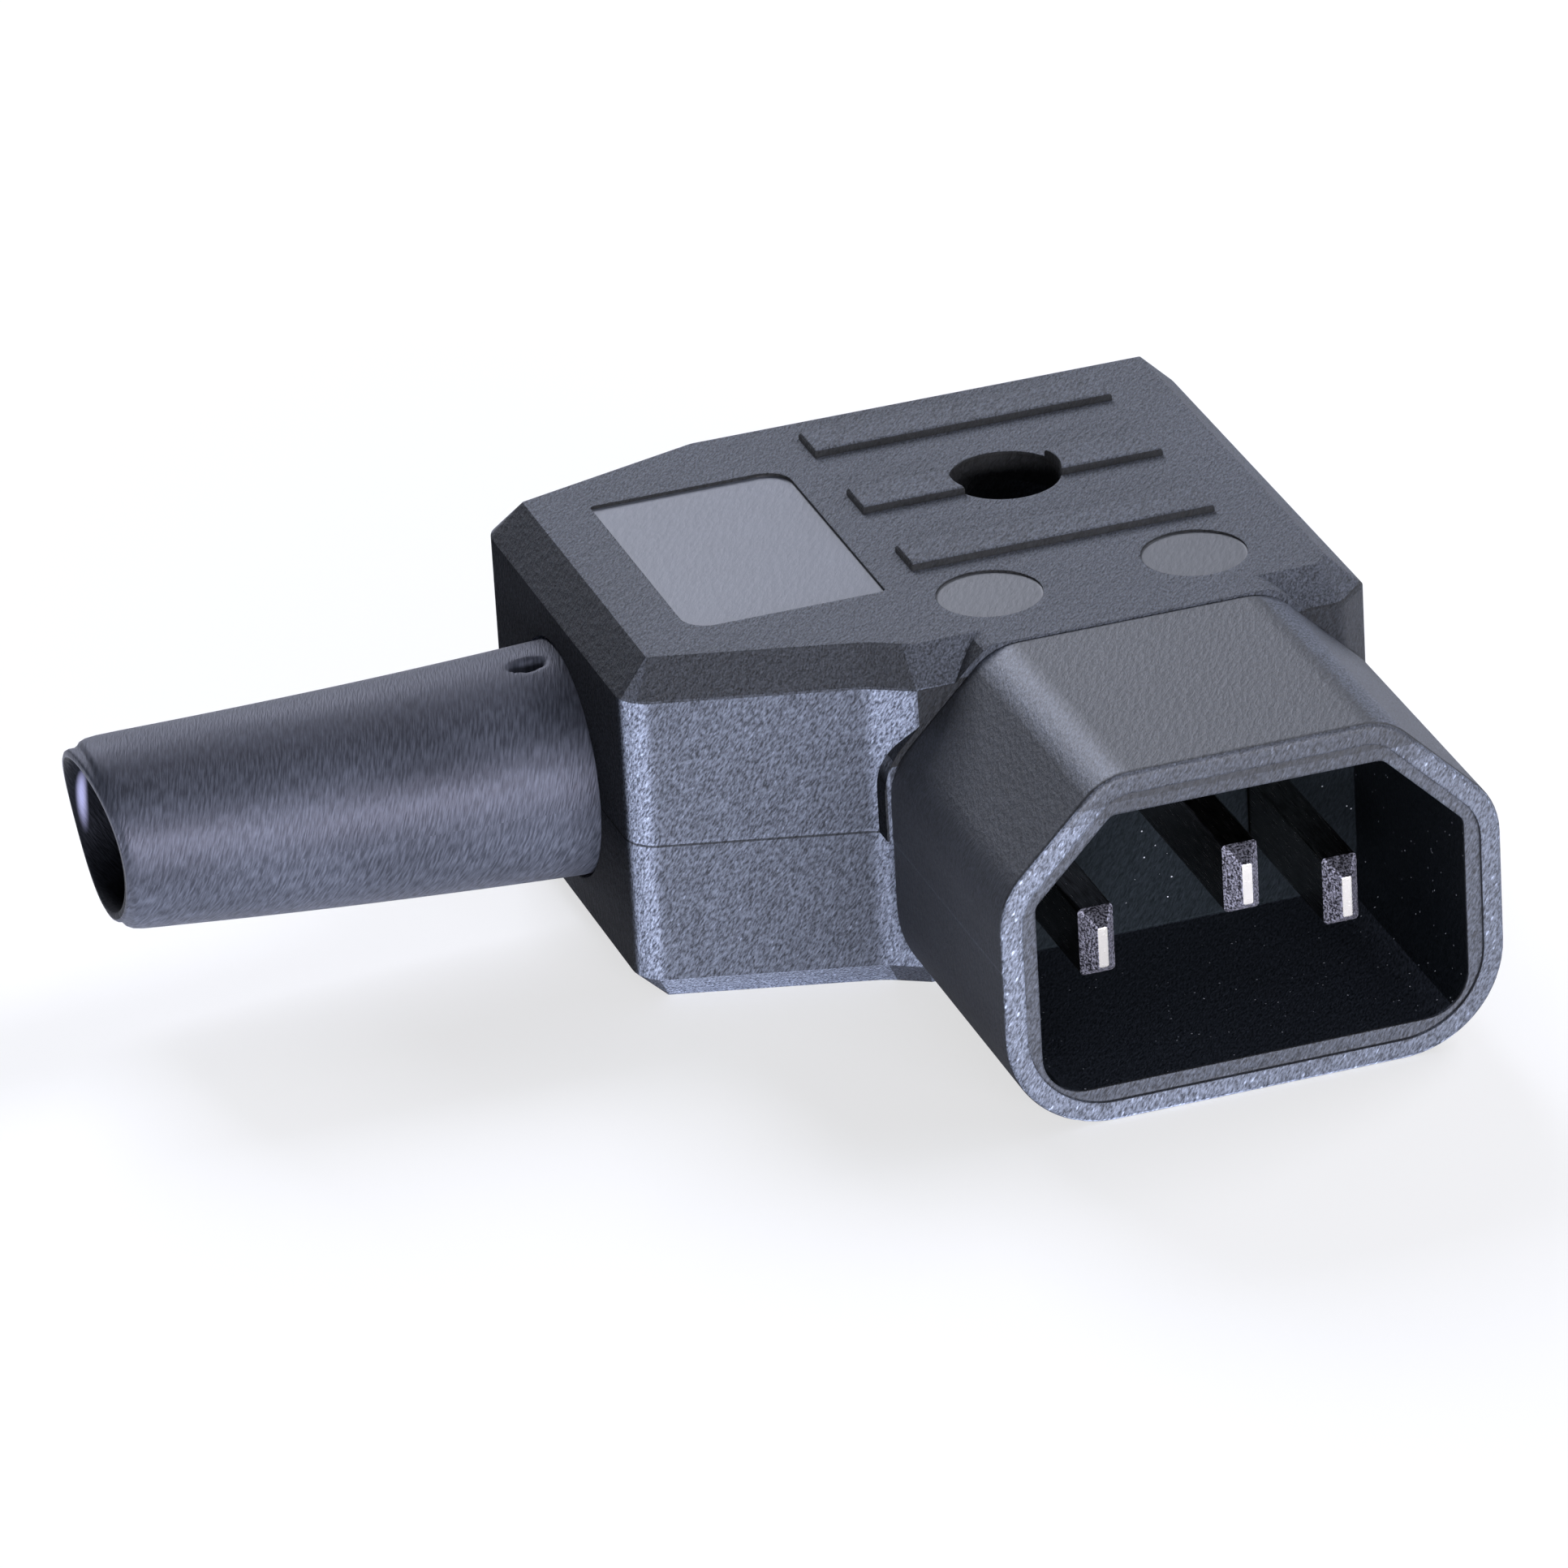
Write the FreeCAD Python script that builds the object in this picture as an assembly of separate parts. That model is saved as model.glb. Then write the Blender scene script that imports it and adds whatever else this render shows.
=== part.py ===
import FreeCAD, Part
import math
import os

# Right-angle rewireable inlet plug with three flat pins, in millimetres.
# The origin is the centre of the collar mouth, in the plane of its rim.
# X runs along the body, away from the cable. Y runs into the collar. Z is up.
# The housing is two shells that part at z = 0.

Vector = FreeCAD.Vector

# Inlet cavity and the collar round it
cavity_width = 24.4
cavity_height = 16.0
cavity_back_gap = 0.8
cavity_chamfer = 4.5
cavity_corner_radius = 2.5
cavity_edge_radius = 0.8
collar_wall = 2.05
collar_top_wall = 2.4
collar_chamfer = 6.2
collar_corner_radius = 6.0
collar_side_radius = 4.3
collar_edge_radius = 3.5
collar_length = 17.5
rim_land = 1.2
rim_step = 0.25
rim_round = 0.35
tongue_inset = 1.3

# Flat pins
pin_pitch = 7.0
pin_offset = 2.0
pin_width = 2.0
pin_height = 4.0
pin_edge_radius = 0.25
line_pin_recess = 4.5
earth_pin_recess = 0.8
tip_bevel_length = 1.1
tip_bevel_side = 0.72
tip_bevel_top = 0.8
slot_clearance = 0.05

# Housing outline, seen from above
cable_axis_offset = 17.5
body_half_depth = 16.0
end_half_depth = 12.3
frame_half_width = 12.35
flare_width = 2.45
right_corner_cut = 2.0
body_left = 27.4
corner_radius = 2.0
bend_radius = 3.0
right_corner_radius = 1.0
wall = 2.0
edge_chamfer = 1.9
cover_proud = 0.1

# Joint between the shells
parting_lip_height = 1.0
parting_lip_thickness = 0.9
parting_clearance = 0.15
surround_lip = 0.3
seam_gap = 0.1

# Top of the cover
label_left = 22.3
label_right = 10.95
label_depth = 17.3
label_recess = 0.2
label_corner_radius = 1.6
label_sharp_radius = 0.25
rib_length = 17.7
rib_width = 2.75
rib_pitch = 8.1
rib_height = 0.45
rib_round = 0.25
rib_offset = 2.5
pad_spacing = 11.9
pad_radius = 2.95
pad_offset = 11.4
pad_recess = 0.12

# Housing screw, its nut and its pillars
screw_hole_radius = 3.15
screw_seat_z = 1.0
screw_floor = 1.8
pillar_wall = 1.5
pillar_foot_radius = 4.2
housing_screw_radius = 1.5
housing_head_radius = 2.75
housing_head_height = 2.0
housing_slot_width = 0.8
housing_slot_depth = 1.0
housing_washer_thickness = 0.5
nut_across_flats = 5.5
nut_height = 2.4
nut_pocket_depth = 3.2
screw_clearance = 0.1
screw_head_round = 0.35
screw_point_share = 0.3

# Terminals
block_width = 5.0
block_length = 8.4
block_height = 5.5
block_gap = 0.1
terminal_screw_radius = 1.45
terminal_screw_length = 4.2
terminal_head_radius = 2.2
terminal_head_height = 1.6
terminal_slot_width = 0.6
terminal_slot_depth = 0.7
clamp_plate_width = 4.8
clamp_plate_length = 6.0
clamp_plate_thickness = 0.8
barrier_thickness = 1.0
barrier_rise = 3.0

# Bar that holds the terminals forward
retainer_end_gap = 0.85
retainer_thickness = 2.2
retainer_rise = 6.5
retainer_wire_slot = 2.6
retainer_gap = 0.1
guide_thickness = 1.2

# Cable grip
grip_x = 18.4
grip_width = 5.4
grip_half_span = 11.6
grip_screw_offset = 9.2
grip_plate_thickness = 2.2
grip_seat_z = -2.6
grip_post_radius = 2.6
grip_screw_radius = 1.45
grip_screw_length = 4.8
grip_head_radius = 2.6
grip_head_height = 1.9
grip_slot_width = 0.8
grip_slot_depth = 0.9
grip_rib_thickness = 1.0
grip_rib_pitch = 2.6

# Cable boot
cable_radius = 4.1
boot_root_radius = 6.7
boot_tip_radius = 5.45
boot_length = 25.1
boot_edge_radius = 0.6
boot_ring_radius = 5.0
boot_ring_length = 1.7
boot_ring_round = 0.4
boot_flange_radius = 8.2
boot_flange_thickness = 2.2
boot_fit = 0.1
boot_keeper_thickness = 1.4
dimple_length = 1.8
dimple_width = 0.9
dimple_depth = 0.5
dimple_from_root = 1.9
dimple_angle = 8.0

# Sizes that follow from those above
collar_half_width = cavity_width / 2 + collar_wall
cavity_depth = collar_length - cavity_back_gap
cable_axis_y = collar_length + cable_axis_offset
rib_centre_y = cable_axis_y + rib_offset
pad_y = cable_axis_y - pad_offset
collar_bottom = cavity_height / 2 + collar_wall
collar_top = cavity_height / 2 + collar_top_wall
cover_top = collar_top + cover_proud
tub_bottom = collar_bottom
back_wall_y = collar_length + wall
body_front = cable_axis_y - body_half_depth
body_back = cable_axis_y + body_half_depth
block_front = back_wall_y + block_gap
block_back = block_front + block_length
retainer_front = block_back + retainer_gap
retainer_back = retainer_front + retainer_thickness
retainer_half_width = collar_half_width - wall - retainer_end_gap
ceiling = cover_top - wall
floor = tub_bottom - wall
overshoot = 1.0


def corner_points(points, inset):
    """Moves each edge of a counter-clockwise outline inwards and returns the new corners."""
    moved = []
    count = len(points)
    for i in range(count):
        (ax, ay), (bx, by), (cx, cy) = points[i - 1], points[i], points[(i + 1) % count]
        ux, uy = bx - ax, by - ay
        vx, vy = cx - bx, cy - by
        lu, lv = math.hypot(ux, uy), math.hypot(vx, vy)
        ux, uy, vx, vy = ux / lu, uy / lu, vx / lv, vy / lv
        turn = ux * vy - uy * vx
        slide = inset * (ux * vx + uy * vy - 1.0) / turn
        moved.append((bx - uy * inset + ux * slide, by + ux * inset + uy * slide))
    return moved


def outline_wire(points, radii, inset, place):
    """Rounded outline: straight runs joined by tangent arcs, mapped into space by place."""
    smallest = 0.05
    corners = corner_points(points, inset)
    count = len(corners)
    runs = []
    for i in range(count):
        a, b, c = corners[i - 1], corners[i], corners[(i + 1) % count]
        ux, uy = b[0] - a[0], b[1] - a[1]
        vx, vy = c[0] - b[0], c[1] - b[1]
        lu, lv = math.hypot(ux, uy), math.hypot(vx, vy)
        ux, uy, vx, vy = ux / lu, uy / lu, vx / lv, vy / lv
        turn = math.atan2(ux * vy - uy * vx, ux * vx + uy * vy)
        radius = max(radii[i] - math.copysign(inset, turn), smallest)
        reach = radius * math.tan(abs(turn) / 2)
        start = (b[0] - ux * reach, b[1] - uy * reach)
        end = (b[0] + vx * reach, b[1] + vy * reach)
        side = math.copysign(radius, turn)
        hub = (start[0] - uy * side, start[1] + ux * side)
        away = math.hypot(b[0] - hub[0], b[1] - hub[1])
        share = radius / away
        middle = (hub[0] + (b[0] - hub[0]) * share, hub[1] + (b[1] - hub[1]) * share)
        runs.append((start, middle, end))
    edges = []
    for i in range(count):
        start, middle, end = runs[i]
        edges.append(Part.Arc(place(*start), place(*middle), place(*end)).toShape())
        edges.append(Part.LineSegment(place(*end), place(*runs[(i + 1) % count][0])).toShape())
    return Part.Wire(edges)


def prism(points, radii, inset, low, high):
    """Upright prism on a rounded outline."""
    wire = outline_wire(points, radii, inset, lambda x, y: Vector(x, y, low))
    return Part.Face(wire).extrude(Vector(0, 0, high - low))


def tube_along_y(points, radii, inset, near, far):
    """Prism along Y on a rounded outline that is drawn in X and Z."""
    wire = outline_wire(points, radii, inset, lambda x, z: Vector(x, near, z))
    return Part.Face(wire).extrude(Vector(0, far - near, 0))


def chamfered_body(height, flat_z):
    """Half of the housing, its far edge cut back by the chamfer: flat_z is up or down."""
    levels = [(0.0, 0.0), (height - edge_chamfer, 0.0), (height, edge_chamfer)]
    wires = []
    for level, inset in levels:
        z = math.copysign(level, flat_z)
        wires.append(outline_wire(body_points, body_radii, inset, lambda x, y, z=z: Vector(x, y, z)))
    return Part.makeLoft(wires, True, True)


def box(x0, x1, y0, y1, z0, z1):
    """Box between two corners."""
    return Part.makeBox(x1 - x0, y1 - y0, z1 - z0, Vector(x0, y0, z0))


def rod(radius, x, y, z0, z1):
    """Upright cylinder."""
    return Part.makeCylinder(radius, z1 - z0, Vector(x, y, z0))


def rod_x(radius, x0, x1):
    """Cylinder on the cable's axis."""
    return Part.makeCylinder(radius, x1 - x0, Vector(x0, cable_axis_y, 0), Vector(1, 0, 0))


def edges_where(shape, test):
    """The edges of a shape whose points all pass a test."""
    return [e for e in shape.Edges if all(test(v.Point) for v in e.Vertexes) and test(e.CenterOfMass)]


# Body outline, counter-clockwise from the front right corner
body_points = [
    (collar_half_width, collar_length + right_corner_cut),
    (collar_half_width, body_back),
    (-frame_half_width - flare_width, body_back),
    (-body_left, cable_axis_y + end_half_depth),
    (-body_left, cable_axis_y - end_half_depth),
    (-frame_half_width - flare_width, body_front),
    (-frame_half_width, collar_length),
    (collar_half_width - right_corner_cut, collar_length),
]
body_radii = [
    right_corner_radius, corner_radius, bend_radius, corner_radius,
    corner_radius, bend_radius, right_corner_radius, right_corner_radius,
]

# Collar outlines in X and Z, counter-clockwise from the lower left
collar_points = [
    (-collar_half_width, -collar_bottom),
    (collar_half_width, -collar_bottom),
    (collar_half_width, collar_top - collar_chamfer),
    (collar_half_width - collar_chamfer, collar_top),
    (-collar_half_width + collar_chamfer, collar_top),
    (-collar_half_width, collar_top - collar_chamfer),
]
collar_radii = [
    collar_corner_radius, collar_corner_radius, collar_side_radius,
    collar_edge_radius, collar_edge_radius, collar_side_radius,
]
cavity_points = [
    (-cavity_width / 2, -cavity_height / 2),
    (cavity_width / 2, -cavity_height / 2),
    (cavity_width / 2, cavity_height / 2 - cavity_chamfer),
    (cavity_width / 2 - cavity_chamfer, cavity_height / 2),
    (-cavity_width / 2 + cavity_chamfer, cavity_height / 2),
    (-cavity_width / 2, cavity_height / 2 - cavity_chamfer),
]
cavity_radii = [cavity_corner_radius] * 2 + [cavity_edge_radius] * 4

# Where each pin stands: name, x, z and how far its tip lies inside the rim
pins = [
    ("line", -pin_pitch, -pin_offset, line_pin_recess),
    ("neutral", pin_pitch, -pin_offset, line_pin_recess),
    ("earth", 0.0, pin_offset, earth_pin_recess),
]
grip_screws = [
    ("front", cable_axis_y - grip_screw_offset),
    ("rear", cable_axis_y + grip_screw_offset),
]


def slotted_screw(x, y, seat, radius, length, head_radius, head_height, slot_width, slot_depth):
    """Pan-head screw with its seat at a height: head above, shank below, one straight slot."""
    edge = head_height * screw_head_round
    point = radius * screw_point_share
    profile = Part.Wire(Part.makePolygon([
        Vector(0, 0, -length), Vector(radius - point, 0, -length), Vector(radius, 0, -length + point),
        Vector(radius, 0, 0), Vector(head_radius, 0, 0), Vector(head_radius, 0, head_height - edge),
        Vector(head_radius - edge, 0, head_height), Vector(0, 0, head_height), Vector(0, 0, -length),
    ]).Edges)
    screw = Part.Face(profile).revolve(Vector(0, 0, 0), Vector(0, 0, 1), 360)
    slot = box(-head_radius, head_radius, -slot_width / 2, slot_width / 2, head_height - slot_depth,
               head_height + overshoot)
    screw = screw.cut(slot)
    screw.translate(Vector(x, y, seat))
    return screw


def rim_land_cut():
    """The inner half of the rim stands back from the outer land by a small step."""
    return tube_along_y(collar_points, collar_radii, rim_land, -overshoot, rim_step)


def collar():
    """The inlet's wall, from its rim back to the seam with the cover."""
    sleeve = tube_along_y(collar_points, collar_radii, 0.0, 0.0, collar_length - seam_gap)
    rim = edges_where(sleeve, lambda p: p.y < 0.001)
    return sleeve.makeFillet(rim_round, rim).cut(rim_land_cut())


def tub():
    """Outer form of the lower shell without its collar, hollowed, with the locating lip on its rim."""
    outer = chamfered_body(tub_bottom, -1)
    hollow = prism(body_points, body_radii, wall, -floor, overshoot)
    lip_outer = prism(body_points, body_radii, wall - parting_lip_thickness, -overshoot, parting_lip_height)
    lip_inner = prism(body_points, body_radii, wall, -overshoot, parting_lip_height + overshoot)
    collar_zone = box(-collar_half_width - wall, collar_half_width + wall, 0.0, back_wall_y + overshoot,
                      0.0, parting_lip_height + overshoot)
    cable_zone = rod_x(boot_root_radius + wall, -body_left - overshoot, -body_left + wall + overshoot)
    lip = lip_outer.cut(lip_inner).cut(collar_zone).cut(cable_zone)
    return outer.cut(hollow).fuse(lip)


def pin_slots():
    """Slots in the back wall that the pins pass through."""
    cuts = []
    for name, x, z, recess in pins:
        half_x = pin_width / 2 + slot_clearance
        half_z = pin_height / 2 + slot_clearance
        cuts.append(box(x - half_x, x + half_x, cavity_depth - overshoot, back_wall_y + overshoot,
                        z - half_z, z + half_z))
    return cuts


def terminal_cradles():
    """Pedestals under the terminal blocks and the barriers between them."""
    solids = []
    for name, x, z, recess in pins:
        top = z - block_height / 2
        solids.append(box(x - block_width / 2, x + block_width / 2, back_wall_y, block_back - wall,
                          -floor, top))
    for side in (-1, 1):
        centre = side * pin_pitch / 2
        solids.append(box(centre - barrier_thickness / 2, centre + barrier_thickness / 2,
                          back_wall_y, block_back, -floor, barrier_rise))
    return solids


def retainer_guides():
    """Channels that hold the terminal bar upright at its two ends."""
    solids = []
    inner = pin_pitch + block_width / 2 + retainer_gap
    stop = retainer_half_width + retainer_gap
    front = retainer_front - retainer_gap
    back = retainer_back + retainer_gap
    for side in (-1, 1):
        x0, x1 = sorted((side * inner, side * (stop + guide_thickness)))
        channel = box(x0, x1, front - guide_thickness, back + guide_thickness, -floor, 0.0)
        x0, x1 = sorted((side * (inner - overshoot), side * stop))
        solids.append(channel.cut(box(x0, x1, front, back, -floor, overshoot)))
    return solids


def grip_posts():
    """Posts and floor ribs of the cable grip in the lower shell."""
    solids = []
    for name, y in grip_screws:
        post = rod(grip_post_radius, -grip_x, y, -floor, grip_seat_z)
        bore = rod(grip_screw_radius, -grip_x, y, grip_seat_z - grip_screw_length, overshoot)
        solids.append(post.cut(bore))
    rib_half = grip_screw_offset - grip_post_radius - screw_clearance
    bed = rod_x(cable_radius, -grip_x - grip_width, -grip_x + grip_width)
    for step in (-1, 0, 1):
        x = -grip_x + step * grip_rib_pitch
        rib = box(x - grip_rib_thickness / 2, x + grip_rib_thickness / 2, cable_axis_y - rib_half,
                  cable_axis_y + rib_half, -floor, grip_seat_z)
        solids.append(rib.cut(bed))
    return solids


def boot_groove(sign):
    """Half of the keeper wall that traps the boot's flange behind the end wall."""
    x0 = -body_left + wall + boot_flange_thickness + 2 * boot_fit
    half = end_half_depth - wall
    low, high = (-floor, 0.0) if sign < 0 else (0.0, ceiling)
    keeper = box(x0, x0 + boot_keeper_thickness, cable_axis_y - half, cable_axis_y + half, low, high)
    bore = rod_x(cable_radius + boot_fit, x0 - overshoot, x0 + boot_keeper_thickness + overshoot)
    return keeper.cut(bore)


def boot_opening():
    """Round opening of the end wall for the boot's root, and the groove for its flange."""
    inner = -body_left + wall
    opening = rod_x(boot_root_radius + boot_fit, -body_left - overshoot, inner + overshoot)
    groove = rod_x(boot_flange_radius + boot_fit, inner, inner + boot_flange_thickness + 2 * boot_fit)
    return opening.fuse(groove)


def nut_prism(across_flats, low, high, x, y):
    """Hexagonal prism."""
    corner = across_flats / math.sqrt(3)
    points = []
    for i in range(7):
        turn = math.radians(60 * i)
        points.append(Vector(x + corner * math.cos(turn), y + corner * math.sin(turn), low))
    return Part.Face(Part.makePolygon(points)).extrude(Vector(0, 0, high - low))


def make_lower_shell():
    """Tub, collar, back wall, cradles, posts and the pillar for the housing screw, moulded as one."""
    shell = tub().fuse(collar())
    backing = tube_along_y(collar_points, collar_radii, tongue_inset, cavity_depth - wall, back_wall_y)
    shell = shell.fuse(backing)
    shell = shell.multiFuse(terminal_cradles() + retainer_guides() + grip_posts() + [boot_groove(-1)])
    shell = shell.fuse(rod(pillar_foot_radius, 0.0, rib_centre_y, -floor, screw_seat_z))
    cuts = [tube_along_y(cavity_points, cavity_radii, 0.0, -overshoot, cavity_depth)]
    cuts += pin_slots()
    cuts.append(rod(housing_screw_radius + screw_clearance, 0.0, rib_centre_y, -tub_bottom - overshoot,
                    screw_seat_z + overshoot))
    cuts.append(nut_prism(nut_across_flats + 2 * screw_clearance, -tub_bottom - overshoot,
                          -tub_bottom + nut_pocket_depth, 0.0, rib_centre_y))
    cuts.append(boot_opening())
    for cut in cuts:
        shell = shell.cut(cut)
    return shell.removeSplitter()


def grip_rib(y):
    """One raised grip rib on the cover with softened edges."""
    rib = box(-rib_length / 2, rib_length / 2, y - rib_width / 2, y + rib_width / 2, cover_top - wall / 2,
              cover_top + rib_height)
    top = edges_where(rib, lambda p: p.z > cover_top + rib_height - 0.001)
    return rib.makeFillet(rib_round, top)


def label_field():
    """Rounded rectangle of the recessed label field, two of its corners nearly sharp."""
    points = [
        (-label_left, cable_axis_y - label_depth / 2), (-label_right, cable_axis_y - label_depth / 2),
        (-label_right, cable_axis_y + label_depth / 2), (-label_left, cable_axis_y + label_depth / 2),
    ]
    radii = [label_corner_radius, label_sharp_radius] * 2
    return prism(points, radii, 0.0, cover_top - label_recess, cover_top + overshoot)


def make_upper_shell():
    """Cover: chamfered half body with its lip round the collar, ribs, label field and pads."""
    shell = chamfered_body(cover_top, 1)
    lip = tube_along_y(collar_points, collar_radii, -surround_lip, collar_length, back_wall_y)
    lip_right = collar_half_width - right_corner_cut
    lip = lip.common(box(-collar_half_width - wall, lip_right, 0.0, body_back, 0.0, cover_top))
    flush = tube_along_y(collar_points, collar_radii, 0.0, collar_length, back_wall_y)
    flush = flush.common(box(lip_right - wall, collar_half_width, 0.0, body_back, 0.0, cover_top))
    shell = shell.multiFuse([lip, flush])
    hollow = prism(body_points, body_radii, wall, -overshoot, ceiling)
    rebate = prism(body_points, body_radii, wall - parting_lip_thickness - parting_clearance, -overshoot,
                   parting_lip_height + parting_clearance)
    shell = shell.cut(hollow).cut(rebate)
    pillar = rod(screw_hole_radius + pillar_wall, 0.0, rib_centre_y, screw_seat_z, cover_top - wall / 2)
    ribs = [grip_rib(rib_centre_y + step * rib_pitch) for step in (-1, 0, 1)]
    shell = shell.multiFuse([pillar, boot_groove(1)] + ribs)
    tongue = tube_along_y(collar_points, collar_radii, tongue_inset - parting_clearance,
                          collar_length - overshoot, back_wall_y + overshoot)
    cuts = [tongue, label_field(), boot_opening()]
    cuts.append(rod(screw_hole_radius, 0.0, rib_centre_y, screw_seat_z + screw_floor,
                    cover_top + overshoot))
    cuts.append(rod(housing_screw_radius + screw_clearance, 0.0, rib_centre_y, screw_seat_z - overshoot,
                    cover_top))
    for side in (-1, 1):
        cuts.append(rod(pad_radius, side * pad_spacing / 2, pad_y, cover_top - pad_recess,
                        cover_top + overshoot))
    for cut in cuts:
        shell = shell.cut(cut)
    return shell.removeSplitter()


def make_boot():
    """Tapered sleeve with an end ring, a root that fills the end wall and a trapped flange."""
    root = -body_left
    tip = root - boot_length
    inner = root + wall + boot_fit
    mouth = tip - boot_ring_length
    back = inner + boot_flange_thickness
    points = [
        (mouth, cable_radius), (back, cable_radius), (back, boot_flange_radius),
        (inner, boot_flange_radius), (inner, boot_root_radius), (root, boot_root_radius),
        (tip, boot_tip_radius), (tip, boot_ring_radius), (mouth, boot_ring_radius),
    ]
    small = boot_ring_round / 2
    radii = [boot_ring_round] + [small] * 4 + [boot_root_radius, boot_edge_radius, small, boot_ring_round]
    wire = outline_wire(points, radii, 0.0, lambda x, r: Vector(x, cable_axis_y + r, 0))
    boot = Part.Face(wire).revolve(Vector(0, cable_axis_y, 0), Vector(1, 0, 0), 360)
    x = root - dimple_from_root
    dimple = Part.makeSphere(dimple_width / 2)
    stretch = FreeCAD.Matrix()
    stretch.scale(dimple_length / dimple_width, 1.0, 2 * dimple_depth / dimple_width)
    dimple = dimple.transformGeometry(stretch)
    dimple.translate(Vector(x, cable_axis_y, boot_root_radius - boot_fit))
    dimple.rotate(Vector(x, cable_axis_y, 0), Vector(1, 0, 0), dimple_angle)
    return boot.cut(dimple)


def make_pin(x, z, recess):
    """Flat blade with a four-sided bevelled tip, and the terminal block behind the back wall."""
    half_x, half_z = pin_width / 2, pin_height / 2
    blade = box(x - half_x, x + half_x, recess + tip_bevel_length, block_front + block_gap,
                z - half_z, z + half_z)
    long_edges = [e for e in blade.Edges if abs(e.tangentAt(e.FirstParameter).y) > 0.99]
    blade = blade.makeFillet(pin_edge_radius, long_edges)
    wide = [(-half_x, -half_z), (half_x, -half_z), (half_x, half_z), (-half_x, half_z)]
    tip_x, tip_z = half_x - tip_bevel_side, half_z - tip_bevel_top
    narrow = [(-tip_x, -tip_z), (tip_x, -tip_z), (tip_x, tip_z), (-tip_x, tip_z)]
    radii = [pin_edge_radius] * 4
    small = [pin_edge_radius / 2] * 4
    base = outline_wire(wide, radii, 0.0, lambda u, w: Vector(x + u, recess + tip_bevel_length, z + w))
    end = outline_wire(narrow, small, 0.0, lambda u, w: Vector(x + u, recess, z + w))
    tip = Part.makeLoft([base, end], True, True)
    block = box(x - block_width / 2, x + block_width / 2, block_front, block_back,
                z - block_height / 2, z + block_height / 2)
    block = block.makeChamfer(pin_edge_radius, block.Edges)
    bore_y = (block_front + block_back) / 2
    bore = rod(terminal_screw_radius, x, bore_y, z + block_height / 2 - terminal_screw_length,
               z + block_height / 2 + overshoot)
    return blade.fuse(tip).fuse(block).cut(bore).removeSplitter()


def make_wire_clamp(x, z):
    """Square plate under the head of a terminal screw."""
    y = (block_front + block_back) / 2
    low = z + block_height / 2
    plate = box(x - clamp_plate_width / 2, x + clamp_plate_width / 2, y - clamp_plate_length / 2,
                y + clamp_plate_length / 2, low, low + clamp_plate_thickness)
    return plate.cut(rod(terminal_screw_radius + screw_clearance, x, y, low - overshoot, low + wall))


def make_terminal_screw(x, z):
    """Screw that presses the plate on the block."""
    y = (block_front + block_back) / 2
    seat = z + block_height / 2 + clamp_plate_thickness
    return slotted_screw(x, y, seat, terminal_screw_radius, terminal_screw_length - screw_clearance,
                         terminal_head_radius, terminal_head_height, terminal_slot_width,
                         terminal_slot_depth)


def make_retainer():
    """Bar across the tub behind the terminal blocks, with a notch for each wire."""
    bar = box(-retainer_half_width, retainer_half_width, retainer_front, retainer_back, -floor,
              retainer_rise)
    for name, x, z, recess in pins:
        low = z + block_height / 2
        notch = box(x - retainer_wire_slot / 2, x + retainer_wire_slot / 2, retainer_front - overshoot,
                    retainer_back + overshoot, low, retainer_rise + overshoot)
        bar = bar.cut(notch)
    return bar


def make_cord_grip():
    """Saddle over the cable: two ears on the posts and an arch between them."""
    x0, x1 = -grip_x - grip_width / 2, -grip_x + grip_width / 2
    ears = box(x0, x1, cable_axis_y - grip_half_span, cable_axis_y + grip_half_span, grip_seat_z,
               grip_seat_z + grip_plate_thickness)
    arch = rod_x(cable_radius + grip_plate_thickness, x0, x1)
    arch = arch.common(box(x0 - overshoot, x1 + overshoot, body_front, body_back, grip_seat_z, cover_top))
    saddle = ears.fuse(arch).cut(rod_x(cable_radius, x0 - overshoot, x1 + overshoot))
    for name, y in grip_screws:
        saddle = saddle.cut(rod(grip_screw_radius + screw_clearance, -grip_x, y, grip_seat_z - overshoot,
                                cover_top))
    return saddle.removeSplitter()


def make_grip_screw(y):
    """Screw through an ear of the saddle into its post."""
    seat = grip_seat_z + grip_plate_thickness
    length = grip_plate_thickness + grip_screw_length - screw_clearance
    return slotted_screw(-grip_x, y, seat, grip_screw_radius, length, grip_head_radius, grip_head_height,
                         grip_slot_width, grip_slot_depth)


def make_housing_screw():
    """Long screw from the deep hole of the cover down to the nut."""
    seat = screw_seat_z + screw_floor + housing_washer_thickness
    length = seat + tub_bottom - (nut_pocket_depth - nut_height) / 2
    return slotted_screw(0.0, rib_centre_y, seat, housing_screw_radius, length, housing_head_radius,
                         housing_head_height, housing_slot_width, housing_slot_depth)


def make_housing_washer():
    """Flat washer under the head of the housing screw."""
    low = screw_seat_z + screw_floor
    disc = rod(screw_hole_radius - screw_clearance, 0.0, rib_centre_y, low, low + housing_washer_thickness)
    bore = rod(housing_screw_radius + screw_clearance, 0.0, rib_centre_y, low - overshoot, low + wall)
    return disc.cut(bore)


def make_housing_nut():
    """Hexagonal nut at the roof of its pocket in the underside."""
    high = -tub_bottom + nut_pocket_depth
    nut = nut_prism(nut_across_flats, high - nut_height, high, 0.0, rib_centre_y)
    bore = rod(housing_screw_radius, 0.0, rib_centre_y, high - nut_height - overshoot, high + overshoot)
    return nut.cut(bore)


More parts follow.
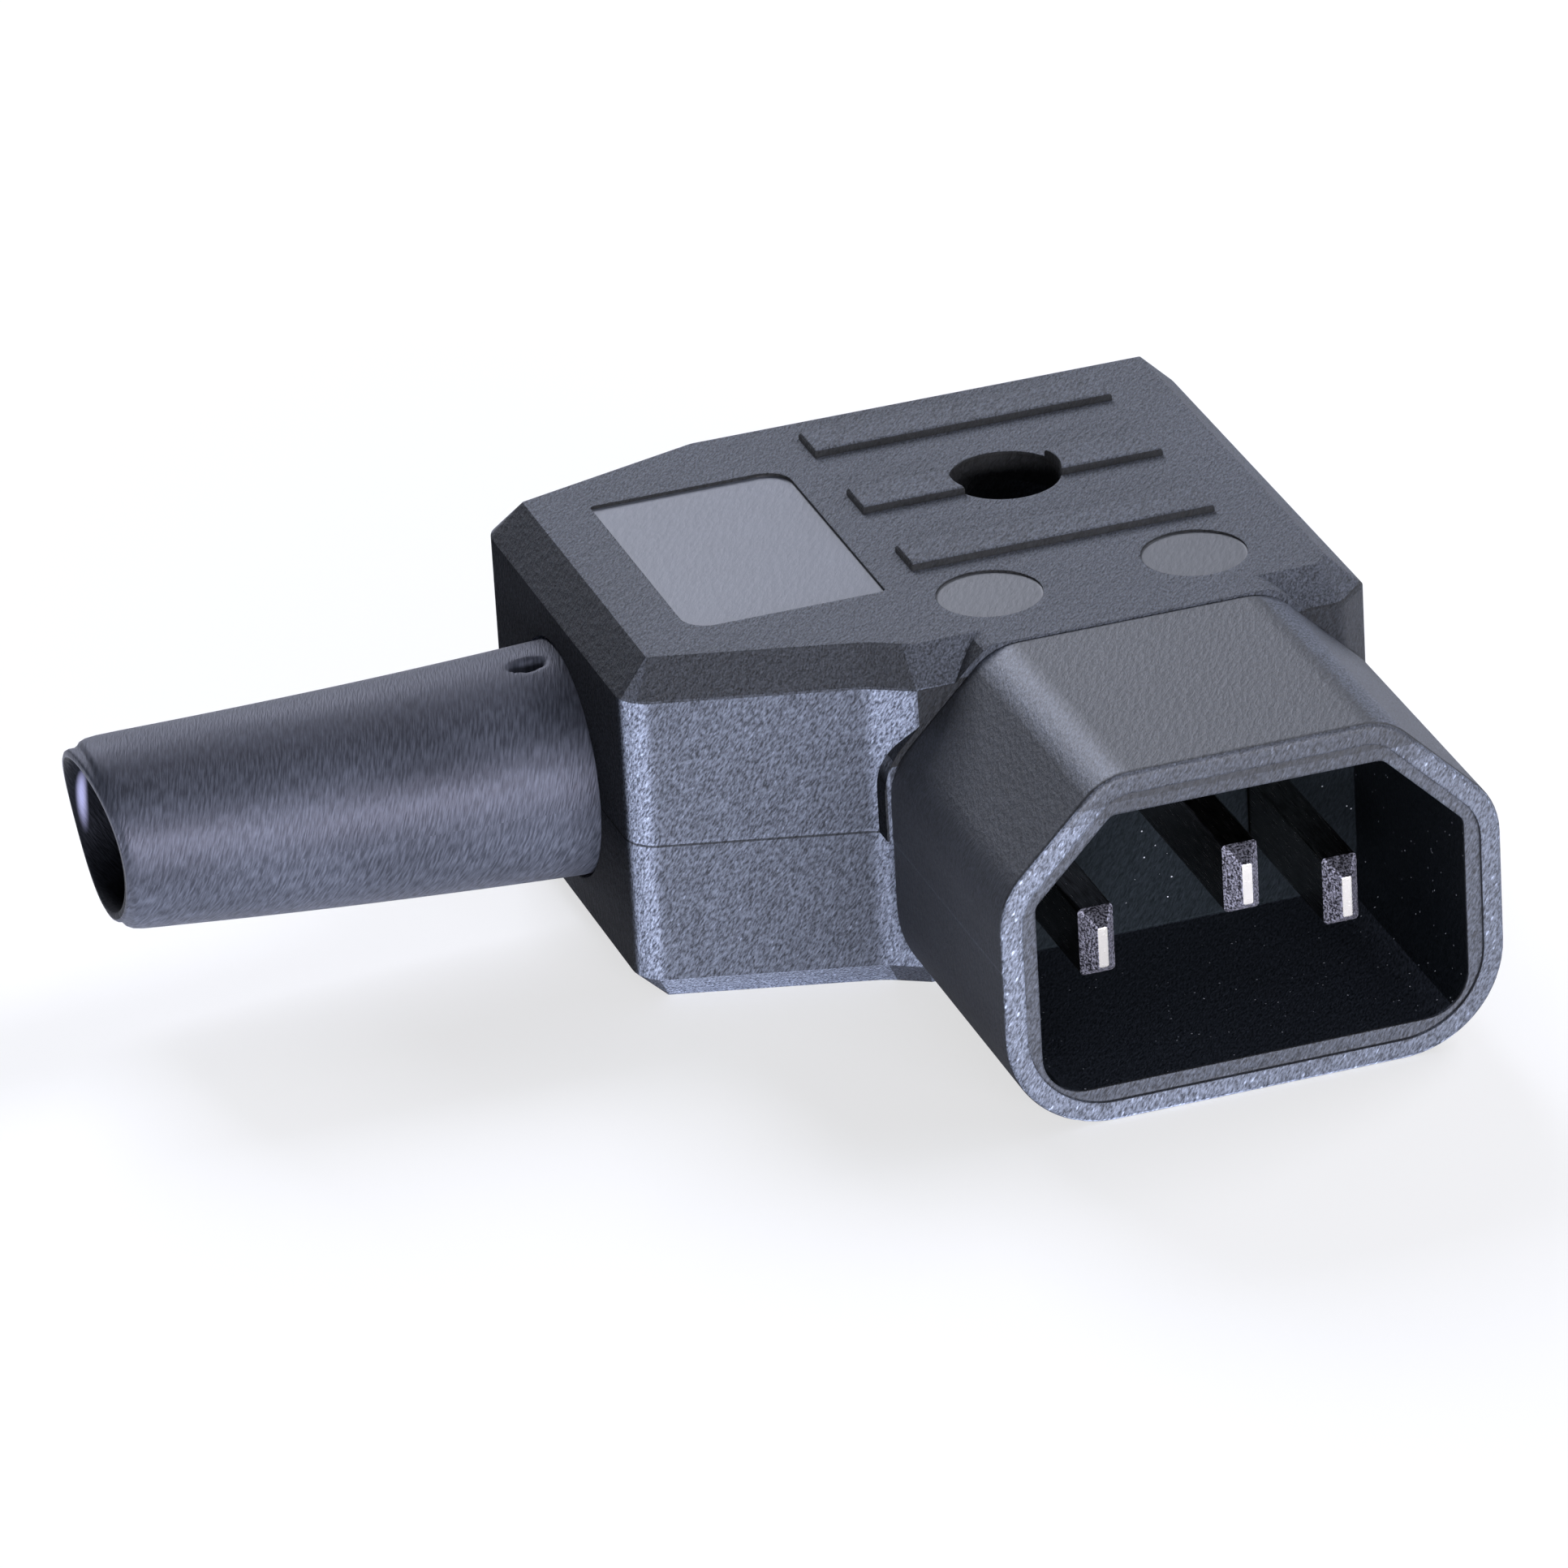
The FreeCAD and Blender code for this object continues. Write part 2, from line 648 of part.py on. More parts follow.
def main():
    """Builds every piece and writes one file for each."""
    pieces = {
        "lower_shell": make_lower_shell(),
        "upper_shell": make_upper_shell(),
        "cable_boot": make_boot(),
        "terminal_retainer": make_retainer(),
        "cord_grip": make_cord_grip(),
        "housing_screw": make_housing_screw(),
        "housing_screw_washer": make_housing_washer(),
        "housing_nut": make_housing_nut(),
    }
    for name, x, z, recess in pins:
        pieces[name + "_pin"] = make_pin(x, z, recess)
        pieces[name + "_wire_clamp"] = make_wire_clamp(x, z)
        pieces[name + "_terminal_screw"] = make_terminal_screw(x, z)
    for name, y in grip_screws:
        pieces["cord_grip_screw_" + name] = make_grip_screw(y)
    os.makedirs("parts", exist_ok=True)
    for name, shape in pieces.items():
        shape.exportStep(os.path.join("parts", name + ".step"))
        print(name, "solids", len(shape.Solids), "valid", shape.isValid(), "volume", round(shape.Volume, 1))


main()
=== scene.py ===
# %% [markdown]
# # A right-angle inlet plug, dressed for a product picture
# The real object is a small rewireable plug: two black moulded shells, a soft boot for the cable, and three
# flat nickel-plated pins inside a collar. Its solids come packed from the CAD model. This lesson gives them
# their surfaces: spark-eroded plastic, polished fields, soft boot compound, plated metal, a little dust.
# Everything is in metres, in the CAD frame: X along the body, Y into the collar, Z up. Sizes are written in
# millimetres, as on a drawing, and multiplied by MM where they are used.

import math

import bpy
import numpy as np
from mathutils import Matrix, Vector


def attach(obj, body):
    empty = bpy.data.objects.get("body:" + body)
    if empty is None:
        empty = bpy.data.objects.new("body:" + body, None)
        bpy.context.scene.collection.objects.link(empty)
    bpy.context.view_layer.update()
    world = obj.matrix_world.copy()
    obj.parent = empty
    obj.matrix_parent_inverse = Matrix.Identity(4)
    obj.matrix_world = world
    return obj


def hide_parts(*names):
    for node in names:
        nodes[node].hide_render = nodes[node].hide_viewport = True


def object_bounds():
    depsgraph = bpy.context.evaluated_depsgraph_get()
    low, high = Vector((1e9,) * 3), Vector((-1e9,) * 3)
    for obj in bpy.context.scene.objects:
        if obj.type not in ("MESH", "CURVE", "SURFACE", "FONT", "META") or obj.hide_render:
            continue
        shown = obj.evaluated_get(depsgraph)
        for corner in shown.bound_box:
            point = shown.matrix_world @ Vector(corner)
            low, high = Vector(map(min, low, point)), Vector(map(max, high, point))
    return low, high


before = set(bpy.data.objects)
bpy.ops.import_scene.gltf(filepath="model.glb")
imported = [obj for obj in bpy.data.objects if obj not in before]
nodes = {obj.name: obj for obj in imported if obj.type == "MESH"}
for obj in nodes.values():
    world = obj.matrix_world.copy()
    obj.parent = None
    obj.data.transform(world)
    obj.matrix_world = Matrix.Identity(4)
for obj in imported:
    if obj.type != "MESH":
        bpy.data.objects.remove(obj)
cad_low, cad_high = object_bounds()
MM = 0.001
print("pieces of the frame:", len(nodes))
print("CAD box in mm:", [round((b - a) / MM, 1) for a, b in zip(cad_low, cad_high)])

# %% [markdown]
# ## Small helpers
# Colours are written as sRGB hex values, the way a paint chart gives them, and turned to linear light once.
# One helper adds a shader node with its settings and its links, so that each material reads as a recipe.

# %% Colours and shader nodes
def linear(hex_colour):
    """sRGB hex to linear RGBA: below 0.04045 a straight part, above it a power of 2.4."""
    values = [int(hex_colour[i:i + 2], 16) / 255 for i in (1, 3, 5)]
    return [v / 12.92 if v <= 0.04045 else ((v + 0.055) / 1.055) ** 2.4 for v in values] + [1.0]


def add(tree, kind, inputs, **settings):
    """Adds a node. inputs go by socket name or number: a socket is linked to it and a value is set on it."""
    made = tree.nodes.new(kind)
    for name, value in settings.items():
        setattr(made, name, value)
    for name, value in inputs.items():
        if isinstance(value, bpy.types.NodeSocket):
            tree.links.new(value, made.inputs[name])
        else:
            made.inputs[name].default_value = value
    return made


def new_material(name):
    """An empty node material and its output node."""
    material = bpy.data.materials.new(name)
    material.use_nodes = True
    tree = material.node_tree
    tree.nodes.clear()
    output = tree.nodes.new("ShaderNodeOutputMaterial")
    return material, tree, output


def dress(obj, material):
    """Puts one material in the object's first slot."""
    obj.data.materials.clear()
    obj.data.materials.append(material)


print("linear value of a mid grey:", [round(v, 3) for v in linear("#808080")])

# %% [markdown]
# ## Camera
# The picture was taken from far away with a long lens, from the left and above, the camera a little rolled.
# The camera is placed by its position and three angles, which came from fitting known sizes to the picture.

# %% Camera
FRAME_PIXELS = 1932
FOCAL_PIXELS = 14902.0
SENSOR_WIDTH = 36.0
CAMERA_AT = (-195.38, -538.74, 294.39)
YAW, PITCH, ROLL = (math.radians(v) for v in (17.479, 26.414, 3.485))


def camera_axes(yaw, pitch, roll):
    """Right, up and backward directions: look along yaw, down by pitch, then roll about the line of sight."""
    forward = np.array([math.sin(yaw) * math.cos(pitch), math.cos(yaw) * math.cos(pitch), -math.sin(pitch)])
    level = np.array([math.cos(yaw), -math.sin(yaw), 0.0])
    down = np.cross(forward, level)
    right = math.cos(roll) * level + math.sin(roll) * down
    down = -math.sin(roll) * level + math.cos(roll) * down
    return right, -down, -forward


camera_data = bpy.data.cameras.new("product_camera")
camera_data.sensor_width = SENSOR_WIDTH
camera_data.lens = FOCAL_PIXELS / FRAME_PIXELS * SENSOR_WIDTH
camera_data.clip_start, camera_data.clip_end = 0.01, 50.0
camera = bpy.data.objects.new("product_camera", camera_data)
bpy.context.scene.collection.objects.link(camera)
pose = np.eye(4)
pose[:3, :3] = np.column_stack(camera_axes(YAW, PITCH, ROLL))
pose[:3, 3] = np.array(CAMERA_AT) * MM
camera.matrix_world = Matrix(pose.tolist())
bpy.context.scene.camera = camera
print("lens in mm:", round(camera_data.lens, 1))

# %% [markdown]
# ## The table
# The plug lies on a sheet of matt white paper. The paper takes a soft shadow, and the camera also sees a share
# of plain white from it. So the background stays close to white without a lamp that would bleach the plug.

# %% Table
TABLE_SIZE = 12.0
GLOW_SHARE = 0.65
table_z = cad_low[2]
half = TABLE_SIZE / 2
table_mesh = bpy.data.meshes.new("table_top")
table_mesh.from_pydata([(-half, -half, table_z), (half, -half, table_z), (half, half, table_z),
                        (-half, half, table_z)], [], [(0, 1, 2, 3)])
table_top = bpy.data.objects.new("table_top", table_mesh)
bpy.context.scene.collection.objects.link(table_top)

material, tree, output = new_material("Matt_white_table_paper")
paper = add(tree, "ShaderNodeBsdfDiffuse", {"Color": linear("#fbfbfc")})
glow = add(tree, "ShaderNodeEmission", {"Color": (1, 1, 1, 1), "Strength": 1.0})
seen = add(tree, "ShaderNodeLightPath", {}).outputs["Is Camera Ray"]
share = add(tree, "ShaderNodeMath", {0: seen, 1: GLOW_SHARE}, operation="MULTIPLY")
mixed = add(tree, "ShaderNodeMixShader", {0: share.outputs[0], 1: paper.outputs[0], 2: glow.outputs[0]})
tree.links.new(mixed.outputs[0], output.inputs["Surface"])
dress(table_top, material)
print("table at z mm:", round(table_z / MM, 2))

# %% [markdown]
# ## The sky
# The sky fills the shadows with a grey that is dark on the left and pale on the right, so the walls that look
# left stay dark, as they do in the picture. Only the camera sees it as white.

# %% Sky
SKY_DARK, SKY_PALE = "#3f4247", "#878b93"
world = bpy.data.worlds.new("studio")
world.use_nodes = True
sky_tree = world.node_tree
sky_tree.nodes.clear()
heading = add(sky_tree, "ShaderNodeTexCoord", {}).outputs["Generated"]
heading = add(sky_tree, "ShaderNodeSeparateXYZ", {0: heading})
rightward = add(sky_tree, "ShaderNodeMath", {0: heading.outputs[0], 1: 0.5, 2: 0.5}, operation="MULTIPLY_ADD")
grey = add(sky_tree, "ShaderNodeMix", {0: rightward.outputs[0], 6: linear(SKY_DARK), 7: linear(SKY_PALE)},
           data_type="RGBA")
dim = add(sky_tree, "ShaderNodeBackground", {"Color": grey.outputs[2], "Strength": 1.0})
white = add(sky_tree, "ShaderNodeBackground", {"Color": (1, 1, 1, 1), "Strength": 1.0})
ray = add(sky_tree, "ShaderNodeLightPath", {}).outputs
see = add(sky_tree, "ShaderNodeMath", {0: ray["Is Camera Ray"], 1: ray["Is Transmission Ray"]},
          operation="MAXIMUM")
sky = add(sky_tree, "ShaderNodeMixShader", {0: see.outputs[0], 1: dim.outputs[0], 2: white.outputs[0]})
add(sky_tree, "ShaderNodeOutputWorld", {"Surface": sky.outputs[0]})
bpy.context.scene.world = world
print("sky from", SKY_DARK, "on the left to", SKY_PALE, "on the right")

# %% [markdown]
# ## Soft boxes
# Three soft boxes light the plug. A wide one stands low in front and lights the upright walls, a strong one
# hangs behind and gives the top its sheen, and a weaker one hangs to the right. Their power is kept at a level
# at which a colour shows as it is written.

# %% Soft boxes
AIM_AT = (0.0, 0.03, 0.0)
# azimuth and elevation in degrees, distance, width and height in metres, power in watts, colour
SOFT_BOXES = {
    "front_soft_box": (-4, 6, 0.8, 0.9, 0.2, 13.0, "#f3f2fb"),
    "back_soft_box": (182, 34, 1.2, 0.6, 0.6, 15.8, "#e9edfd"),
    "right_soft_box": (105, 45, 1.2, 0.6, 0.6, 8.0, "#f3f4ff"),
}


def soft_box(name, azimuth, elevation, distance, width, height, watts, colour):
    """Area lamp aimed at the plug. Azimuth 0 is in front of the collar and grows to the right."""
    lamp = bpy.data.lights.new(name, "AREA")
    lamp.shape, lamp.size, lamp.size_y = "RECTANGLE", width, height
    lamp.energy, lamp.color = watts, linear(colour)[:3]
    made = bpy.data.objects.new(name, lamp)
    bpy.context.scene.collection.objects.link(made)
    a, e = math.radians(azimuth), math.radians(elevation)
    back = np.array([math.sin(a) * math.cos(e), -math.cos(a) * math.cos(e), math.sin(e)])
    level = np.array([math.cos(a), math.sin(a), 0.0])
    place = np.eye(4)
    place[:3, :3] = np.column_stack([level, np.cross(back, level), back])
    place[:3, 3] = back * distance + np.array(AIM_AT)
    made.matrix_world = Matrix(place.tolist())
    made.visible_camera = False


for name, values in SOFT_BOXES.items():
    soft_box(name, *values)

# %% [markdown]
# ## Telling places apart
# One plastic covers both shells, but its finish changes from place to place, and light and shade are painted
# into its tone place by place. A place is told by a box or an ellipsoid in object coordinates, which are the
# part's own, and a wall from a chamfer by the way it faces. Directions are unit vectors, and how closely a face
# looks along one is a cosine: 1 is straight along it.

# %% Masks from places and directions
FRONT, BACK, LEFT, UP = (0.0, -1.0, 0.0), (0.0, 1.0, 0.0), (-1.0, 0.0, 0.0), (0.0, 0.0, 1.0)
FRONT_UP, FRONT_DOWN = (0.0, -0.707, 0.707), (0.0, -0.707, -0.707)
LEFT_UP, FRONT_LEFT = (-0.707, 0.0, 0.707), (-0.788, -0.616, 0.0)
# the collar's upper bends, which get a painted highlight
COLLAR_BENDS = ((-0.4, 0.0, 0.917), (0.5, 0.0, 0.866))
PIN_BEVEL_UP = (0.0, -0.59, 0.807)
BOOT_UP, BOOT_DOWN = (0.0, 0.2, 0.98), (0.0, -0.35, -0.94)


def region(tree, where, low, high, oval=False):
    """1 inside a box between two corners in mm, or inside the ellipsoid that fills it, else 0.
    The point is moved and scaled so that the box runs from -1 to 1, and its largest side, or its length, is
    compared with 1."""
    centre = [(a + b) / 2 * MM for a, b in zip(low, high)]
    half = [(b - a) / 2 * MM for a, b in zip(low, high)]
    moved = add(tree, "ShaderNodeVectorMath", {0: where, 1: centre}, operation="SUBTRACT")
    scaled = add(tree, "ShaderNodeVectorMath", {0: moved.outputs[0], 1: half}, operation="DIVIDE")
    if oval:
        size = add(tree, "ShaderNodeVectorMath", {0: scaled.outputs[0]}, operation="LENGTH").outputs["Value"]
    else:
        sides = add(tree, "ShaderNodeVectorMath", {0: scaled.outputs[0]}, operation="ABSOLUTE")
        x, y, z = add(tree, "ShaderNodeSeparateXYZ", {0: sides.outputs[0]}).outputs
        size = add(tree, "ShaderNodeMath", {0: x, 1: y}, operation="MAXIMUM").outputs[0]
        size = add(tree, "ShaderNodeMath", {0: size, 1: z}, operation="MAXIMUM").outputs[0]
    return add(tree, "ShaderNodeMath", {0: size, 1: 1.0}, operation="LESS_THAN").outputs[0]


def facing(tree, direction, least):
    """1 where a face looks along a direction, to within the angle whose cosine is least, else 0."""
    normal = add(tree, "ShaderNodeNewGeometry", {}).outputs["Normal"]
    along = add(tree, "ShaderNodeVectorMath", {0: normal, 1: direction}, operation="DOT_PRODUCT")
    return add(tree, "ShaderNodeMath", {0: along.outputs["Value"], 1: least},
               operation="GREATER_THAN").outputs[0]


def leaning(tree, direction, low, high):
    """Grows smoothly from 0 to 1 as the angle to a direction closes: low and high are cosines."""
    normal = add(tree, "ShaderNodeNewGeometry", {}).outputs["Normal"]
    along = add(tree, "ShaderNodeVectorMath", {0: normal, 1: direction}, operation="DOT_PRODUCT")
    return add(tree, "ShaderNodeMapRange", {"Value": along.outputs["Value"], "From Min": low,
                                            "From Max": high}, interpolation_type="SMOOTHSTEP").outputs[0]


print("collar bends look along:", COLLAR_BENDS)

# %% [markdown]
# ## Drawing out, multiplying, tinting
# Three more recipes. A pattern looks drawn out when the point it is read at is shortened along one direction.
# Masks are joined by multiplying them. A tint multiplies a colour by a factor where its mask is 1, so one
# above 1 pales a place and one below 1 darkens it.

# %% Patterns and tints
def brushed(tree, where, direction, keep):
    """The point with its part along a unit direction shortened to keep: a pattern read there is drawn out."""
    along = add(tree, "ShaderNodeVectorMath", {0: where, 1: direction},
                operation="DOT_PRODUCT").outputs["Value"]
    back = add(tree, "ShaderNodeVectorMath", {0: direction, 3: along}, operation="SCALE").outputs[0]
    back = add(tree, "ShaderNodeVectorMath", {0: back, 3: keep - 1.0}, operation="SCALE").outputs[0]
    return add(tree, "ShaderNodeVectorMath", {0: where, 1: back}, operation="ADD").outputs[0]


def product(tree, *values):
    """All the values multiplied together."""
    result = values[0]
    for value in values[1:]:
        result = add(tree, "ShaderNodeMath", {0: result, 1: value}, operation="MULTIPLY").outputs[0]
    return result


def tinted(tree, colour, mask, factor):
    """The colour, times factor where the mask is 1: the scale is 1 + mask * (factor - 1)."""
    share = add(tree, "ShaderNodeMath", {0: mask, 1: factor - 1.0, 2: 1.0},
                operation="MULTIPLY_ADD").outputs[0]
    return add(tree, "ShaderNodeVectorMath", {0: colour, 3: share}, operation="SCALE").outputs[0]


print("recipes:", [recipe.__name__ for recipe in (region, facing, leaning, brushed, product, tinted)])

# %% [markdown]
# ## Places of the housing
# The label field and the two round pads are shallow recesses that were polished in the tool. The cavity takes
# the mating connector and gets painted shade, with its two lower corners square and its two upper ones cut.
# Seams, mould flash, rims and the thin lip that follows the collar each have their own narrow place, and most
# of them get painted highlights and painted shade.

# %% Places of the housing
# Two opposite corners of each box in mm. The two pads are ellipsoids that fill theirs.
PLACES = {
    "label": ((-22.3, 26.35, 10.25), (-10.95, 43.65, 10.35)),       # floor of the label field
    "left_pad": ((-8.9, 20.65, 10.34), (-3.0, 26.55, 10.42)),       # floors of the round pads
    "right_pad": ((3.0, 20.65, 10.34), (8.9, 26.55, 10.42)),
    "cavity_box": ((-12.24, 0.45, -8.04), (12.24, 17.2, 8.04)),     # the cavity before its corners are cut
    "hole": ((-3.25, 34.2, 0.0), (3.25, 40.8, 10.35)),              # down to the housing screw
    "relief": ((-30.0, 19.0, 10.22), (15.0, 52.0, 10.92)),          # sides of ribs and recesses on the top
    "rim": ((-14.6, -0.1, -11.0), (14.6, 0.25, 11.0)),              # the collar's front rim
    "rim_top": ((-14.6, -0.1, 7.9), (14.6, 0.35, 11.0)),
    "inner_land": ((-14.0, 0.18, -10.0), (14.0, 0.32, 10.2)),       # the step inside the rim
    "seam": ((-28.0, 17.6, -0.08), (14.4, 51.2, 0.06)),             # the parting line
    "above_seam": ((-28.0, 17.6, 0.06), (14.4, 24.0, 0.24)),        # painted highlight along the cover's lower edge
    "left_flash": ((-14.45, 0.2, -0.06), (-14.05, 17.4, 0.06)),     # mould flash along the collar's sides
    "right_flash": ((14.05, 0.2, -0.06), (14.45, 17.4, 0.06)),
    "lip_face": ((-14.9, 17.45, 0.0), (-14.42, 17.55, 5.2)),        # the cover's lip beside the collar
    "lip_edge": ((-14.42, 17.45, 0.0), (-14.2, 17.55, 4.4)),
    "lip_bend": ((-14.9, 17.45, 4.4), (-6.0, 17.55, 8.9)),
    "right_cut": ((6.0, 17.4, 0.0), (14.6, 20.5, 8.8)),             # the cut corner right of the collar
}
COLLAR_ROOT = 17.45     # y where the collar meets the body
WALL_TOP = 8.7          # z under the cover's top chamfer
SLANT_END = -12.4       # the front chamfer gets painted shade left of this x
CUT_CORNER = 15.9       # the cavity's upper corners are cut where |x| + z reaches this


def housing_masks(tree, where):
    """Every place of the housing by name, each 1 inside it and 0 outside. Half spaces compare x, y or z with a
    length, and the last three multiply places with the way a face looks."""
    x, y, z = add(tree, "ShaderNodeSeparateXYZ", {0: where}).outputs
    m = {name: region(tree, where, *box, oval=name.endswith("pad")) for name, box in PLACES.items()}
    m["pad"] = add(tree, "ShaderNodeMath", {0: m["left_pad"], 1: m["right_pad"]},
                   operation="MAXIMUM").outputs[0]
    m["polished"] = add(tree, "ShaderNodeMath", {0: m["label"], 1: m["pad"]}, operation="MAXIMUM").outputs[0]
    m["flash"] = add(tree, "ShaderNodeMath", {0: m["left_flash"], 1: m["right_flash"]},
                     operation="MAXIMUM").outputs[0]
    m["below_top"] = add(tree, "ShaderNodeMath", {0: z, 1: WALL_TOP * MM}, operation="LESS_THAN").outputs[0]
    m["collar"] = add(tree, "ShaderNodeMath", {0: y, 1: COLLAR_ROOT * MM}, operation="LESS_THAN").outputs[0]
    m["body"] = add(tree, "ShaderNodeMath", {0: y, 1: COLLAR_ROOT * MM}, operation="GREATER_THAN").outputs[0]
    m["slanted"] = add(tree, "ShaderNodeMath", {0: x, 1: SLANT_END * MM}, operation="LESS_THAN").outputs[0]
    wide = add(tree, "ShaderNodeMath", {0: x}, operation="ABSOLUTE").outputs[0]
    corner = add(tree, "ShaderNodeMath", {0: wide, 1: z}, operation="ADD").outputs[0]
    corner = add(tree, "ShaderNodeMath", {0: corner, 1: CUT_CORNER * MM}, operation="LESS_THAN").outputs[0]
    m["cavity"] = product(tree, corner, m["cavity_box"])
    m["outside"] = add(tree, "ShaderNodeMath", {0: 1.0, 1: m["cavity"]}, operation="SUBTRACT").outputs[0]
    # wall: the upright front walls, where the table's light is painted in as a paler tone
    m["wall"] = product(tree, leaning(tree, FRONT, 0.17, 0.5), m["outside"], m["below_top"])
    # dark_left and dark_slope: the left wall and its chamfer, which get painted shade
    m["dark_left"] = product(tree, leaning(tree, LEFT, 0.9, 0.985), m["below_top"], m["body"])
    m["dark_slope"] = product(tree, facing(tree, LEFT_UP, 0.97), m["body"])
    return m


print("places of the housing:", len(PLACES))

# %% [markdown]
# ## The grain of a spark-eroded tool
# The tool's eroded walls print a fine grain: specks of 0.1 mm and pits about three times as wide. It scatters
# light and makes black plastic look slate grey. In the picture it is drawn out on a slant, one way on the walls
# and another on the top, so the pattern is too. Slow clouds of 9 mm keep the tone from looking printed.

# %% Grain
GRAIN, PITS, CLOUDS = 0.1, 0.3, 9.0
DRAWN_WALL, DRAWN_TOP, DRAWN_KEEP = (0.493, -0.144, 0.858), (0.555, 0.832, 0.0), 0.34


def grain_pattern(tree, where):
    """Specks from 0 to 1, distance from the middle of a pit, and slow clouds from 0 to 1."""
    drawn = add(tree, "ShaderNodeMix", {0: facing(tree, UP, 0.6),
                                        4: brushed(tree, where, DRAWN_WALL, DRAWN_KEEP),
                                        5: brushed(tree, where, DRAWN_TOP, DRAWN_KEEP)},
                data_type="VECTOR").outputs[1]
    specks = add(tree, "ShaderNodeTexNoise", {"Vector": drawn, "Scale": 1 / (GRAIN * MM), "Detail": 3.0,
                                              "Roughness": 0.6}).outputs["Fac"]
    pits = add(tree, "ShaderNodeTexVoronoi", {"Vector": drawn, "Scale": 1 / (PITS * MM)}).outputs["Distance"]
    cloud = add(tree, "ShaderNodeTexNoise", {"Vector": where, "Scale": 1 / (CLOUDS * MM),
                                             "Detail": 3.0}).outputs["Fac"]
    return specks, pits, cloud


print("grain in mm:", GRAIN)

# %% [markdown]
# ## The housing's tone
# The specks run from near black to slate grey, and the polished fields have one even tone. Then each place is
# tinted, and most tints are painted light and shade. The white table's glow is painted as a paler tone on the
# upright front walls, their rounded corner and the lower front chamfer, with painted highlights on the collar's
# bends and painted glints on the pits. The left side, the upper chamfers and the crevices get painted shade.
# The cavity has painted shade too, apart from its floor and a spot near its left back corner, which are painted
# lit, and a few specks of pale dust lie in it.

# %% Tone of the housing
SPECK_DARK, SPECK_PALE, SPECK_RANGE = "#171a21", "#545a66", (0.35, 0.69)
POLISHED_TONE, DUST_TONE = "#34373e", "#b9bcc4"
BLOTCH_GAIN, BLOTCH_BASE = 0.5, 0.75                  # the clouds scale the tone from 0.75 to 1.25
PIT_SPARKLE, RIM_SPARKLE = 0.14, 0.22                 # painted glints: a pit glints nearer than this to its middle, in widths
RIM_LEFT, RIM_RIGHT, RIM_REACH = 0.45, -0.15, 14.0    # painted light: the rim's gain in tone at x = -14 and at x = 14 mm
LIT_AT, LIT_REACH, LIT_FACTOR = (-7, 17, 6), 9, 9.0   # the cavity's painted spot of light, in mm
DUST_SPACING, DUST_SIZE = 0.65, 0.07                  # in mm, and in spacings


